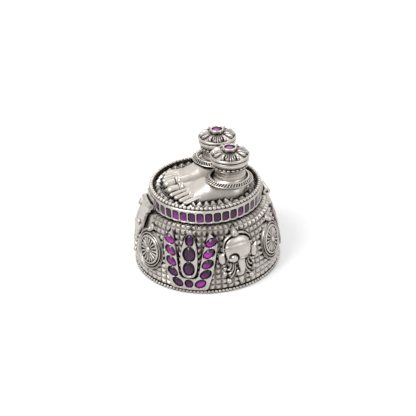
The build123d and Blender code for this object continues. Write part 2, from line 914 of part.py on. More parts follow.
# Studs on the lid's plate, where the feet leave it bare
plate_studs = []
for ring in range(plate_stud_rings):
    radius = mouth_radius - (ring + 0.5) * plate_stud_pitch
    width = 2 * pi * radius / plate_stud_columns
    ring_foot = Plane(origin=(0, -radius, deck), x_dir=(1, 0, 0), z_dir=(0, 0, 1))
    ring_stud = stud(ring_foot, width, plate_stud_pitch)
    for column in range(plate_stud_columns):
        placed = Rot(0, 0, (column + 0.5) * 360 / plate_stud_columns) * ring_stud.part
        if min(placed.distance_to(foot.part) for foot in (left_foot, right_foot)) > stud_clearance:
            plate_studs.append(placed)
with BuildPart() as studded_plate:
    add(lid_plate.part)
    add(plate_studs)
save(studded_plate, "lid_plate")

# Toe ring over the big toe
with BuildPart() as right_toe_ring:
    with BuildSketch(Plane.XZ.offset(-toe_ring_y)):
        with Locations((big_toe_x, deck + big_toe_lift)):
            Circle(big_toe_radius + toe_ring_thickness)
            Circle(big_toe_radius, mode=Mode.SUBTRACT)
    extrude(amount=toe_ring_width / 2, both=True)
    split(bisect_by=Plane.XY.offset(deck + toe_ring_low), keep=Keep.TOP)
save(right_toe_ring, "right_toe_ring")
save(mirrored(right_toe_ring), "left_toe_ring")

# Anklet: a conical cuff seated on the heel
with BuildPart() as right_anklet:
    with Locations(anklet_seat.location):
        Cone(
            anklet_radius,
            anklet_top_radius,
            anklet_height,
            align=(Align.CENTER, Align.CENTER, Align.MIN),
        )
        Cylinder(
            anklet_top_radius - anklet_wall,
            anklet_height,
            align=(Align.CENTER, Align.CENTER, Align.MIN),
            mode=Mode.SUBTRACT,
        )
save(right_anklet, "right_anklet")
save(mirrored(right_anklet), "left_anklet")

with BuildPart() as right_ankle_collar:
    with Locations((ankle_x, ankle_y, ankle_top)):
        Cylinder(collar_radius, collar_height, align=(Align.CENTER, Align.CENTER, Align.MIN))
save(right_ankle_collar, "right_ankle_collar")
save(mirrored(right_ankle_collar), "left_ankle_collar")

# Cap: two rounded mouldings with a groove between, and a dome
ankle_axis = Axis((ankle_x, ankle_y, 0), (0, 0, 1))
cap_plane = Plane(origin=(ankle_x, ankle_y, collar_top), x_dir=(1, 0, 0), z_dir=(0, -1, 0))
with BuildPart() as right_ankle_cap:
    with BuildSketch(cap_plane):
        with BuildLine():
            lower = ThreePointArc(
                (cap_neck_radius, 0),
                (cap_lower_radius, cap_lower_height),
                (cap_groove_radius, cap_groove_height),
            )
            upper = ThreePointArc(
                lower @ 1,
                (cap_radius, cap_wide_height),
                (cap_dome_radius, cap_dome_height),
            )
            Polyline(upper @ 1, (cap_top_radius, cap_height), (0, cap_height), (0, 0), lower @ 0)
        make_face()
    revolve(axis=ankle_axis)
save(right_ankle_cap, "right_ankle_cap")
save(mirrored(right_ankle_cap), "left_ankle_cap")

with BuildPart() as right_gem_bezel:
    with Locations((ankle_x, ankle_y, cap_top)):
        Cylinder(bezel_radius, bezel_height, align=(Align.CENTER, Align.CENTER, Align.MIN))
    with Locations((ankle_x, ankle_y, cap_top + gem_seat)):
        Cylinder(
            gem_radius,
            bezel_height,
            align=(Align.CENTER, Align.CENTER, Align.MIN),
            mode=Mode.SUBTRACT,
        )
save(right_gem_bezel, "right_gem_bezel")
save(mirrored(right_gem_bezel), "left_gem_bezel")

with BuildPart() as right_gem:
    with Locations((ankle_x, ankle_y, cap_top + gem_seat)):
        Cylinder(gem_radius, gem_height, align=(Align.CENTER, Align.CENTER, Align.MIN))
    fillet(right_gem.faces().sort_by(Axis.Z)[-1].edges(), (gem_height + gem_seat - bezel_height) / 2)
save(right_gem, "right_gem")
save(mirrored(right_gem), "left_gem")
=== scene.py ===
"""Dressed model of a silver kumkum box: a studded drum, a stone-set lid with a pair of feet, a hasp."""

import logging
import math
from collections.abc import Callable
from dataclasses import dataclass
from enum import Enum

import bmesh
import bpy
import numpy as np
from mathutils import Matrix, Vector


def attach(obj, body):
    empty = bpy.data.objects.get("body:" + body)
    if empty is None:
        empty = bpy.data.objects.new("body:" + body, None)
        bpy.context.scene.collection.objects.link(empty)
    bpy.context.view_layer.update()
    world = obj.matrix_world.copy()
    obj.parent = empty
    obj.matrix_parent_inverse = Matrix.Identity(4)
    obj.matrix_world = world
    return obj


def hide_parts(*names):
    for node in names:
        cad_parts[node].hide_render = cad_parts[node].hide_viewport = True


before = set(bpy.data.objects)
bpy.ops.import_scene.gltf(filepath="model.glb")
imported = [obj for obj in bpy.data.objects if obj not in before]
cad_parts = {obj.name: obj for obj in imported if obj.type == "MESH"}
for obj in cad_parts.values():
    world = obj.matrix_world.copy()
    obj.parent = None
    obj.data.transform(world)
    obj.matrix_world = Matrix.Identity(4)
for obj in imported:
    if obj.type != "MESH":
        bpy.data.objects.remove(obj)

log = logging.getLogger("kumkum_box")

Array = np.ndarray
Place = Callable[[Array, Array, Array], Array]
Relief = Callable[[Array, Array, Array], Array]
Point = tuple[float, float]
Line = tuple[Point, ...]

MM = 0.001
FULL_TURN = 2 * math.pi
WELD = 0.002 * MM
TINY = 1e-9
SUNK = -0.25
BLUNT = 0.98
# Name of the point attribute that holds each stone's painted inner light and shade.
PAINTED_LIGHT = "painted_light"

SETS = 3
SET_PITCH = 360 / SETS
FIRST_DISC = 20.0
MARK_TURN = 40.0
CONCH_TURN = 80.0
HINGE_SET = 1
FLAME_TIP = 26.9
SHORT_FLAME_TIP = 23.9
STONE_SEED = 11
DECK = 33.2
ANKLE_AXIS = (8.7, 8.2)


class Body(Enum):
    """Bodies of the box that new pieces ride on."""

    BASE = "base"
    LID = "lid"


class Side(Enum):
    """Left or right, with the sign of its X."""

    LEFT = -1
    RIGHT = 1


class Draft:
    """Points and faces of one piece, gathered in millimetres before they become a mesh."""

    def __init__(self) -> None:
        """Start with nothing."""
        self.points: list[Array] = []
        self.faces: list[Array] = []
        self.painted_light: list[Array] = []
        self.count = 0

    def grid(self, points: Array, painted_light: Array | float = 0.0) -> None:
        """Add a net of quads whose columns close on themselves.

        Args:
            points: Places, as rows by columns by three.
            painted_light: Painted inner light and shade of a stone at each place.
        """
        rows, columns = points.shape[:2]
        index = np.arange(rows * columns).reshape(rows, columns) + self.count
        index = np.column_stack([index, index[:, 0]])
        corners = (index[:-1, :-1], index[:-1, 1:], index[1:, 1:], index[1:, :-1])
        self.faces.append(np.stack(corners, axis=-1).reshape(-1, 4))
        self.points.append(points.reshape(-1, 3))
        self.painted_light.append(np.broadcast_to(painted_light, (rows, columns)).reshape(-1))
        self.count += rows * columns

    def loop(self, points: Array) -> None:
        """Add a net that closes on itself both ways, as a ring does."""
        self.grid(np.concatenate([points, points[:1]]))

    def to_object(self, name: str, crease: float) -> bpy.types.Object:
        """Weld the draft into one mesh object.

        Args:
            name: Name of the object and its mesh.
            crease: Angle in degrees above which an edge stays sharp.

        Returns:
            The linked object, in metres.
        """
        mesh = bpy.data.meshes.new(name)
        points = np.concatenate(self.points) * MM
        mesh.from_pydata(points.tolist(), [], np.concatenate(self.faces).tolist())
        # Store each point's painted light and shade of a stone as an attribute.
        light = mesh.attributes.new(PAINTED_LIGHT, "FLOAT", "POINT")
        light.data.foreach_set("value", np.concatenate(self.painted_light).astype(np.float32))
        work = bmesh.new()
        work.from_mesh(mesh)
        bmesh.ops.remove_doubles(work, verts=work.verts, dist=WELD)
        bmesh.ops.recalc_face_normals(work, faces=work.faces)
        work.to_mesh(mesh)
        work.free()
        mesh.shade_smooth()
        mesh.set_sharp_from_angle(angle=math.radians(crease))
        piece = bpy.data.objects.new(name, mesh)
        bpy.context.scene.collection.objects.link(piece)
        return piece


def smooth_through(knots: Line | Array, count: int, closed: bool = False) -> Array:
    """Sample a smooth line that passes through its knots.

    Args:
        knots: Points on the line.
        count: Number of samples.
        closed: Whether the line returns to its first knot.

    Returns:
        The samples, as count by the knots' own dimension.
    """
    line = np.asarray(knots, float)
    if closed:
        line = np.vstack([line[-1:], line, line[:2]])
    else:
        line = np.vstack([2 * line[0] - line[1], line, 2 * line[-1] - line[-2]])
    spans = len(line) - 3
    along = np.linspace(0, spans, count, endpoint=not closed)
    span = np.minimum(along.astype(int), spans - 1)
    t = (along - span)[:, None]
    before, start, end, after = (line[span + step] for step in range(4))
    curve = 2 * start + (end - before) * t
    curve += (2 * before - 5 * start + 4 * end - after) * t**2
    curve += (3 * start - before - 3 * end + after) * t**3
    return curve / 2


def both_sides(right_half: Array) -> Array:
    """Close an outline from its right half, given from the middle of its foot to its tip."""
    left_half = right_half[-2:0:-1] * (-1, 1)
    return np.vstack([right_half, left_half])


def skirted(sheet: Array, rise: Array, sunk: float = SUNK) -> tuple[Array, Array]:
    """Fold the two long edges of a strip down into what carries it.

    Args:
        sheet: Places on the sheet, as rows by columns by two.
        rise: Rise at each place.
        sunk: Rise of the folded edges.

    Returns:
        The places and the rises, with one more column at each side.
    """
    sheet = np.concatenate([sheet[:, :1], sheet, sheet[:, -1:]], axis=1)
    return sheet, np.pad(rise, ((0, 0), (1, 1)), constant_values=sunk)


def capped(net: Array) -> Array:
    """Close both ends of a net with a point in the middle of each."""
    ends = [np.repeat(row.mean(axis=0)[None, None], len(row), axis=1) for row in (net[0], net[-1])]
    return np.concatenate([ends[0], net, ends[1]])


def round_axis(reach: Array, around: Array, height: Array) -> Array:
    """Points at a reach from the box's axis, turned from the hasp by an angle."""
    return np.stack([reach * np.sin(around), -reach * np.cos(around), height], axis=-1)


def oval(centre: Point, long: float, short: float, tilt: float, count: int) -> Array:
    """Outline of an oval.

    Args:
        centre: Middle of the oval.
        long: Long diameter.
        short: Short diameter.
        tilt: Angle of the long diameter from level, in degrees.
        count: Number of points.

    Returns:
        The outline, as count by two.
    """
    angle = np.linspace(0, FULL_TURN, count, endpoint=False)
    lean = math.radians(tilt)
    along, across = long / 2 * np.cos(angle), short / 2 * np.sin(angle)
    x = along * math.cos(lean) - across * math.sin(lean)
    z = along * math.sin(lean) + across * math.cos(lean)
    return np.stack([x, z], axis=-1) + centre


def outside_oval(x: Array, z: Array, centre: Point, long: float, short: float, tilt: float) -> Array:
    """Distance outside an oval, less than nothing inside it.

    Args:
        x: Places across.
        z: Places up.
        centre: Middle of the oval.
        long: Long diameter.
        short: Short diameter.
        tilt: Angle of the long diameter from level, in degrees.

    Returns:
        The distances, in millimetres.
    """
    lean = math.radians(tilt)
    dx, dz = x - centre[0], z - centre[1]
    along = dx * math.cos(lean) + dz * math.sin(lean)
    across = dz * math.cos(lean) - dx * math.sin(lean)
    return (np.hypot(2 * along / long, 2 * across / short) - 1) * short / 2


def ridge(distance: Array, width: float) -> Array:
    """Height of a rounded ridge, 1 on its line."""
    return np.exp(-((distance / width) ** 2))


def dome(share: Array) -> Array:
    """Height of a round dome, 1 in its middle and 0 at share 1."""
    return np.sqrt(np.clip(1 - share**2, 0, 1))


def plaque(
    draft: Draft,
    place: Place,
    outline: Array,
    spine: tuple[Point, Point] | Array,
    relief: Relief,
    rings: int,
    painted_light: Relief | None = None,
) -> None:
    """Add a closed raised form whose rings shrink from an outline to a spine.

    Args:
        draft: Draft to add to.
        place: Turns a place on the sheet and a rise into a point.
        outline: Closed outline on the sheet.
        spine: Two ends of the line that the rings shrink to.
        relief: Rise at each place, from x, z and the inset from the outline.
        rings: Number of rings.
        painted_light: Painted inner light and shade of a stone at each place, likewise.
    """
    low, high = np.asarray(spine, float)
    run = high - low
    share = np.clip((outline - low) @ run / max(run @ run, TINY), 0, 1)
    middle = low + share[:, None] * run
    depth = np.linspace(0, 1, rings)[:, None]
    sheet = outline + depth[..., None] * (middle - outline)
    inset = depth * np.linalg.norm(middle - outline, axis=1)
    rise = relief(sheet[..., 0], sheet[..., 1], inset)
    light = painted_light(sheet[..., 0], sheet[..., 1], inset) if painted_light else np.zeros_like(rise)
    sheet = np.concatenate([sheet[-1:], sheet[:1], sheet])
    rise = np.concatenate([np.full_like(rise[:2], SUNK), rise])
    light = np.concatenate([light[-1:], light[:1], light])
    draft.grid(place(sheet[..., 0], sheet[..., 1], rise), light)


def ribbon(draft: Draft, place: Place, line: Array, half: Array, crown: Array, base: float = 0.5) -> None:
    """Add a closed rounded ridge that follows a line.

    Args:
        draft: Draft to add to.
        place: Turns a place on the sheet and a rise into a point.
        line: Middle of the ridge, as count by two.
        half: Half the ridge's width along the line.
        crown: Rise of the ridge's crown over its edges along the line.
        base: Rise of the ridge's edges.
    """
    ahead = np.gradient(line, axis=0)
    ahead = ahead / np.linalg.norm(ahead, axis=1)[:, None]
    side = np.stack([-ahead[:, 1], ahead[:, 0]], axis=-1)
    across = np.sin(np.linspace(-math.pi / 2, math.pi / 2, 9))
    sheet = line[:, None] + side[:, None] * (across[None, :, None] * half[:, None, None])
    sheet, rise = skirted(sheet, base + crown[:, None] * dome(across)[None])
    sheet = capped(sheet)
    rise = np.pad(rise, ((1, 1), (0, 0)), constant_values=SUNK)
    draft.grid(place(sheet[..., 0], sheet[..., 1], rise))


def turned(profile: Array, count: int, centre: Point = (0.0, 0.0)) -> Array:
    """Turn a profile of radius and height about an upright axis.

    Args:
        profile: Radii and heights, as rows by two.
        count: Number of columns round the axis.
        centre: X and Y of the axis.

    Returns:
        Points, as rows by columns by three.
    """
    angle = np.linspace(0, FULL_TURN, count, endpoint=False)
    x = centre[0] + profile[:, :1] * np.cos(angle)
    y = centre[1] + profile[:, :1] * np.sin(angle)
    return np.stack([x, y, np.broadcast_to(profile[:, 1:], x.shape)], axis=-1)


def beaded_ring(radius: float, height: float, half: Point, beads: int, neck: float) -> Array:
    """Net of a wire rolled into beads, bent into a ring.

    Args:
        radius: Radius of the ring's middle.
        height: Height of the ring's middle.
        half: Half the bead's width and half its height.
        beads: Number of beads.
        neck: Thickness between two beads, as a share of the bead's.

    Returns:
        Points, as section by round by three.
    """
    steps, section = 8, 12
    angle = np.linspace(0, FULL_TURN, beads * steps, endpoint=False)
    across = 2 * ((angle * beads / FULL_TURN) % 1) - 1
    swell = neck + (1 - neck) * dome(across)
    round_wire = np.linspace(0, FULL_TURN, section, endpoint=False)[:, None]
    reach = radius + half[0] * swell * np.cos(round_wire)
    rise = height + half[1] * swell * np.sin(round_wire)
    return np.stack([reach * np.cos(angle), reach * np.sin(angle), rise], axis=-1)


def linear(colour: str) -> tuple[float, float, float, float]:
    """Turn an sRGB hex colour into linear red, green, blue and full alpha.

    Args:
        colour: Colour as #rrggbb.

    Returns:
        Linear red, green, blue and alpha.
    """
    shares = (int(colour[start : start + 2], 16) / 255 for start in (1, 3, 5))
    parts = [s / 12.92 if s <= 0.04045 else ((s + 0.055) / 1.055) ** 2.4 for s in shares]
    return (*parts, 1.0)


def add_node(tree: bpy.types.NodeTree, kind: str, inputs: dict | None = None, **settings) -> bpy.types.Node:
    """Add a node with its settings, constants and links.

    Args:
        tree: Node tree to add to.
        kind: Blender's type name of the node.
        inputs: A constant or another node's socket for each input's name or number.
        settings: Properties of the node.

    Returns:
        The node.
    """
    node = tree.nodes.new(kind)
    for name, value in settings.items():
        setattr(node, name, value)
    for name, value in (inputs or {}).items():
        if isinstance(value, bpy.types.NodeSocket):
            tree.links.new(value, node.inputs[name])
        else:
            node.inputs[name].default_value = value
    return node


def new_material(name: str) -> tuple[bpy.types.Material, bpy.types.NodeTree]:
    """Make an empty node material and return it with its tree.

    Args:
        name: Name of the material.

    Returns:
        The material and its tree.
    """
    material = bpy.data.materials.new(name)
    material.use_nodes = True
    material.node_tree.nodes.clear()
    return material, material.node_tree


@dataclass(frozen=True)
class OxidisedSilver:
    """Cast silver, blackened with sulphide and polished bright by rubbing on its high places.

    The eye sees warm grey metal with soft highlights and near-black lines in its hollows. The near-black
    follows ambient occlusion: real sulphide patina in the cast's hollows, and painted shade as well,
    since it also darkens creases between separate pieces and against the floor.
    """

    name: str
    slot: str
    bright: str
    worn: str
    patina_and_shade: str
    roughness: tuple[float, float]
    patina_and_shade_mm: float
    patina_and_shade_range: tuple[float, float]
    # Patches that the polishing thumb rubbed more or less.
    cloud_mm: float = 2.5
    cloud_detail: float = 5.0
    cloud_mix: float = 0.6
    cloud_span: Point = (0.3, 0.7)
    uneven: float = 0.1
    # The mould's sand leaves grains of about 0.1 mm, drawn twice as coarse to show.
    grit_mm: float = 0.22
    grit_detail: float = 2.0
    grit_strength: float = 0.08
    patina_and_shade_rays: int = 8
    patina_roughness: float = 0.62

    def build(self) -> bpy.types.Material:
        """Make the material.

        Returns:
            The material.
        """
        material, tree = new_material(self.name)
        coordinate = add_node(tree, "ShaderNodeTexCoord").outputs["Object"]
        cloud = add_node(
            tree,
            "ShaderNodeTexNoise",
            {
                "Vector": coordinate,
                "Scale": 1 / (self.cloud_mm * MM),
                "Detail": self.cloud_detail,
                "Roughness": self.cloud_mix,
            },
        ).outputs["Fac"]
        grit = add_node(
            tree,
            "ShaderNodeTexNoise",
            {"Vector": coordinate, "Scale": 1 / (self.grit_mm * MM), "Detail": self.grit_detail},
        ).outputs["Fac"]
        # Real patina and painted shade: ambient occlusion pulls the colour towards the dark patina, in the
        # cast's hollows and also in creases between separate pieces and against the floor.
        patina_and_shade_ao = add_node(
            tree,
            "ShaderNodeAmbientOcclusion",
            {"Distance": self.patina_and_shade_mm * MM},
            samples=self.patina_and_shade_rays,
        ).outputs["AO"]
        uneven = add_node(
            tree,
            "ShaderNodeMapRange",
            {
                "Value": cloud,
                "From Min": self.cloud_span[0],
                "From Max": self.cloud_span[1],
                "To Min": -self.uneven,
                "To Max": self.uneven,
            },
        ).outputs["Result"]
        openness = add_node(tree, "ShaderNodeMath", {0: patina_and_shade_ao, 1: uneven}, operation="ADD").outputs[0]
        rubbed_and_unshaded = add_node(
            tree,
            "ShaderNodeMapRange",
            {"Value": openness, "From Min": self.patina_and_shade_range[0], "From Max": self.patina_and_shade_range[1]},
            interpolation_type="SMOOTHSTEP",
        ).outputs["Result"]
        metal = add_node(
            tree,
            "ShaderNodeMix",
            {"Factor": cloud, 6: linear(self.worn), 7: linear(self.bright)},
            data_type="RGBA",
        ).outputs[2]
        colour = add_node(
            tree, "ShaderNodeMix", {"Factor": rubbed_and_unshaded, 6: linear(self.patina_and_shade), 7: metal}, data_type="RGBA"
        ).outputs[2]
        sheen = add_node(
            tree,
            "ShaderNodeMapRange",
            {"Value": cloud, "To Min": self.roughness[0], "To Max": self.roughness[1]},
        ).outputs["Result"]
        roughness = add_node(
            tree, "ShaderNodeMix", {"Factor": rubbed_and_unshaded, 2: self.patina_roughness, 3: sheen}
        ).outputs[0]
        bump = add_node(
            tree,
            "ShaderNodeBump",
            {"Height": grit, "Strength": self.grit_strength, "Distance": self.grit_mm * MM},
        ).outputs["Normal"]
        shader = add_node(
            tree,
            "ShaderNodeBsdfPrincipled",
            {"Base Color": colour, "Metallic": 1.0, "Roughness": roughness, "Normal": bump},
        )
        add_node(tree, "ShaderNodeOutputMaterial", {"Surface": shader.outputs[0]})
        return material


@dataclass(frozen=True)
class FoilBackedPaste:
    """Cut glass paste over coloured foil, as set in temple silver.

    The eye sees a dark plum table that mirrors the room, and magenta light in its lower edge. That magenta
    light, and the dark round the girdle and in the upper crown, are painted into the colour from each
    point's stored level.
    """

    name: str
    slot: str
    # Darkest colour: the stone's own dark tone, and painted shade at the girdle and in the upper crown.
    deep: str
    table: str
    # Brightest colour: painted light from the foil, in the lower crown.
    lit: str
    roughness: float = 0.08
    ior: float = 1.42
    cloud_mm: float = 1.6
    cloud_detail: float = 1.0
    uneven: float = 0.2
    table_stop: float = 0.45

    def build(self) -> bpy.types.Material:
        """Make the material.

        Returns:
            The material.
        """
        material, tree = new_material(self.name)
        coordinate = add_node(tree, "ShaderNodeTexCoord").outputs["Object"]
        cloud = add_node(
            tree,
            "ShaderNodeTexNoise",
            {"Vector": coordinate, "Scale": 1 / (self.cloud_mm * MM), "Detail": self.cloud_detail},
        ).outputs["Fac"]
        # Painted light and shade: each point's stored level picks the colour, bright magenta where foil
        # light is painted, dark where shade is painted.
        light = add_node(tree, "ShaderNodeAttribute", attribute_name=PAINTED_LIGHT).outputs["Fac"]
        uneven = add_node(
            tree, "ShaderNodeMapRange", {"Value": cloud, "To Min": -self.uneven, "To Max": self.uneven}
        ).outputs["Result"]
        level = add_node(tree, "ShaderNodeMath", {0: light, 1: uneven}, operation="ADD").outputs[0]
        ramp = add_node(tree, "ShaderNodeValToRGB", {"Fac": level})
        stops = ramp.color_ramp.elements
        stops[0].color, stops[1].color = linear(self.deep), linear(self.lit)
        stops.new(self.table_stop).color = linear(self.table)
        stops[2].position = 1.0
        shader = add_node(
            tree,
            "ShaderNodeBsdfPrincipled",
            {
                "Base Color": ramp.outputs["Color"],
                "Roughness": self.roughness,
                "IOR": self.ior,
            },
        )
        add_node(tree, "ShaderNodeOutputMaterial", {"Surface": shader.outputs[0]})
        return material


# Silver alloy cast in pieces, blackened, then polished by rubbing: bright studs with dark lines between, the
# dark partly real patina and partly painted shade from ambient occlusion.
CAST_SILVER = OxidisedSilver(
    name="oxidised_cast_silver",
    slot="antique_silver",
    bright="#d5cfc9",
    worn="#aca59e",
    patina_and_shade="#171615",
    roughness=(0.24, 0.42),
    patina_and_shade_mm=1.3,
    patina_and_shade_range=(0.42, 0.95),
)
# Same silver burnished smooth by hand: long soft reflections, dark only in its deepest creases, as real
# patina and painted shade.
BURNISHED_SILVER = OxidisedSilver(
    name="burnished_silver",
    slot="polished_silver",
    bright="#d2ccc5",
    worn="#b4ada5",
    patina_and_shade="#1c1917",
    roughness=(0.24, 0.36),
    patina_and_shade_mm=1.4,
    patina_and_shade_range=(0.5, 0.85),
    grit_strength=0.04,
)
# Silver left as black as the sulphide bath gave it, with only the tips polished; the occlusion that sets its
# dark also paints shade between pieces.
BLACKENED_SILVER = OxidisedSilver(
    name="sulphide_blackened_silver",
    slot="dark_silver",
    bright="#c8c3bc",
    worn="#98928b",
    patina_and_shade="#1d1c1b",
    roughness=(0.3, 0.45),
    patina_and_shade_mm=1.6,
    patina_and_shade_range=(0.62, 0.95),
)
# Steel drawn through a die: grey, a little shinier than the silver round it; darkened with painted shade
# where ambient occlusion finds it hidden.
DRAWN_STEEL = OxidisedSilver(
    name="drawn_steel_wire",
    slot="pin_steel",
    bright="#a8a8a6",
    worn="#8a8987",
    patina_and_shade="#2b2a28",
    roughness=(0.25, 0.35),
    patina_and_shade_mm=0.6,
    patina_and_shade_range=(0.2, 0.6),
    cloud_mm=0.8,
)
# Glass pressed in a mould and set over magenta foil: plum tables, each with a bright crescent painted into
# the colour as light from the foil.
MAGENTA_PASTE = FoilBackedPaste(
    name="foil_backed_magenta_paste",
    slot="ruby_glass",
    deep="#1c0d1c",
    table="#4f2552",
    lit="#d136c9",
)


class Workshop:
    """Dresses finished pieces: finish, body and replaced nodes."""

    edge_segments: int = 3
    edge_angle: float = 50.0

    def __init__(self) -> None:
        """Start with no material made."""
        self.made: dict[str, bpy.types.Material] = {}

    def material(self, finish: OxidisedSilver | FoilBackedPaste) -> bpy.types.Material:
        """Give a finish's material, made once.

        Args:
            finish: The finish.

        Returns:
            The material.
        """
        if finish.name not in self.made:
            self.made[finish.name] = finish.build()
        return self.made[finish.name]

    def dress(
        self,
        piece: bpy.types.Object,
        finish: OxidisedSilver | FoilBackedPaste,
        body: Body,
        node: str,
    ) -> None:
        """Finish a new piece and let it stand for its node.

        Args:
            piece: The new piece.
            finish: Its finish.
            body: Body that it moves with.
            node: Node of the frame that it stands for.
        """
        piece.data.materials.clear()
        piece.data.materials.append(self.material(finish))
        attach(piece, body.value)
        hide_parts(node)
        log.info("%s stands for %s, %d faces", piece.name, node, len(piece.data.polygons))

    def dress_node(self, node: str, finish: OxidisedSilver, bevel: float) -> None:
        """Finish a node of the frame and round its edges.

        Args:
            node: Name of the node.
            finish: Its finish.
            bevel: Width of the rounded edge, in millimetres.
        """
        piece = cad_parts[node]
        piece.data.materials.clear()
        piece.data.materials.append(self.material(finish))
        if bevel:
            soften = piece.modifiers.new("rounded_edges", "BEVEL")
            soften.width = bevel * MM
            soften.segments = self.edge_segments
            soften.limit_method = "ANGLE"
            soften.angle_limit = math.radians(self.edge_angle)
            soften.harden_normals = True
        log.info("%s keeps its shape", node)


@dataclass
class DrumSkin:
    """Outer line of the drum's wall, in millimetres."""

    belly: Point = (29.6, 1.5)
    low: Point = (29.35, 6.5)
    knee: Point = (28.6, 12.0)
    middle: Point = (27.3, 18.2)
    shoulder: Point = (25.5, 24.0)
    brow: Point = (24.6, 26.2)
    rim: Point = (23.1, 27.7)
    samples: int = 120

    def __post_init__(self) -> None:
        """Sample the line once."""
        knots = (self.belly, self.low, self.knee, self.middle, self.shoulder, self.brow, self.rim)
        self.line = smooth_through(knots, self.samples)

    def radius(self, height: Array) -> Array:
        """Radius of the bare wall at each height."""
        return np.interp(height, self.line[:, 1], self.line[:, 0])

    def place(self, degrees: float) -> Place:
        """Give the mapping from a flat motif to the wall, turned from the hasp by an angle.

        Args:
            degrees: Angle round from the hasp.

        Returns:
            The mapping.
        """
        turn = math.radians(degrees)

        def on_wall(x: Array, z: Array, rise: Array) -> Array:
            """Place a point of the motif on the wall."""
            radius = self.radius(z)
            return round_axis(radius + rise, turn + np.arcsin(x / radius), z)

        return on_wall


@dataclass
class Drum:
    """Drum wall with its studs, and the beaded wire round its foot."""

    skin: DrumSkin
    columns: int = 72
    rows: int = 12
    stud_height: float = 1.0
    stud_fill: float = 0.985
    stud_tip: float = 0.14
    stud_sink: float = 0.3
    disc_cover: float = 1.0
    facets: int = 4
    front_field: Point = (6.2, 15.4)
    back_field: Point = (6.8, 22.5)
    foot_seat: float = 29.3
    wall: float = 1.2
    mouth: float = 21.0
    lip: float = 2.2
    foot_beads: int = 130
    foot_bead_height: float = 1.5
    foot_bead_middle: float = 30.0
    foot_bead_neck: float = 0.35

    def is_bare(self, degrees: float, radius: float, height: float) -> bool:
        """Whether a stud would stand under the hasp, under the hinge or under a disc.

        Args:
            degrees: Angle round from the hasp.
            radius: Radius of the wall there.
            height: Height of the stud.

        Returns:
            True where no stud stands.
        """
        turn = math.radians(degrees)
        half, foot = self.front_field if math.cos(turn) > 0 else self.back_field
        if abs(radius * math.sin(turn)) < half and height > foot:
            return True
        beside = (degrees - FIRST_DISC + SET_PITCH / 2) % SET_PITCH - SET_PITCH / 2
        away = math.hypot(radius * math.radians(beside), height - Discus.height)
        return away < Discus.radius - self.disc_cover

    def add_studs(self, draft: Draft) -> None:
        """Add the rows of low pyramids, each with a worn tip.

        Args:
            draft: Draft to add to.
        """
        line = self.skin.line
        run = np.concatenate([[0], np.cumsum(np.linalg.norm(np.diff(line, axis=0), axis=1))])
        run = run / run[-1] * self.rows
        corner = np.array([(-0.5, -0.5), (0.5, -0.5), (0.5, 0.5), (-0.5, 0.5)])
        scale = np.array((0, 1, self.stud_tip, 0))[:, None] * self.stud_fill
        lift = np.array((-self.stud_sink, 0, self.stud_height, self.stud_height))[:, None]
        for row in range(self.rows):
            along = row + 0.5 + scale * corner[:, 1]
            radius, height = np.interp(along, run, line[:, 0]), np.interp(along, run, line[:, 1])
            ends = np.array([np.interp((row, row + 1), run, line[:, axis]) for axis in (0, 1)])
            out = np.array((ends[1, 1] - ends[1, 0], ends[0, 0] - ends[0, 1]))
            out = out / np.linalg.norm(out)
            reach, rise = radius + lift * out[0], height + lift * out[1]
            for column in range(self.columns):
                degrees = (column + 0.5) * 360 / self.columns
                if not self.is_bare(degrees, radius.mean(), height.mean()):
                    turn = math.radians(degrees) + scale * corner[:, 0] * FULL_TURN / self.columns
                    draft.grid(round_axis(reach, turn, rise))

    def wall_piece(self) -> bpy.types.Object:
        """Build the wall as one closed shell with its studs.

        Returns:
            The piece.
        """
        draft = Draft()
        rim_height = self.skin.rim[1]
        bore = self.foot_seat - self.wall
        inside = [
            (self.mouth, rim_height),
            (self.mouth, rim_height - self.lip),
            (self.skin.shoulder[0] - self.wall, self.skin.shoulder[1]),
            (self.skin.knee[0] - self.wall, self.skin.knee[1]),
            (bore, self.foot_bead_height),
            (bore, 0),
            (self.foot_seat, 0),
            (self.foot_seat, self.foot_bead_height),
        ]
        draft.loop(turned(np.concatenate([self.skin.line, inside]), self.columns * self.facets))
        self.add_studs(draft)
        return draft.to_object("studded_drum_wall", crease=20)

    def foot_wire(self) -> bpy.types.Object:
        """Build the beaded wire round the foot.

        Returns:
            The piece.
        """
        draft = Draft()
        half = (self.foot_bead_height / 2, self.foot_bead_height / 2)
        draft.loop(beaded_ring(self.foot_bead_middle, half[1], half, self.foot_beads, self.foot_bead_neck))
        return draft.to_object("beaded_foot_wire", crease=70)

    def build(self, workshop: Workshop) -> None:
        """Make and dress the wall and the wire."""
        workshop.dress(self.wall_piece(), CAST_SILVER, Body.BASE, "drum_wall")
        workshop.dress(self.foot_wire(), CAST_SILVER, Body.BASE, "foot_bead_wire")


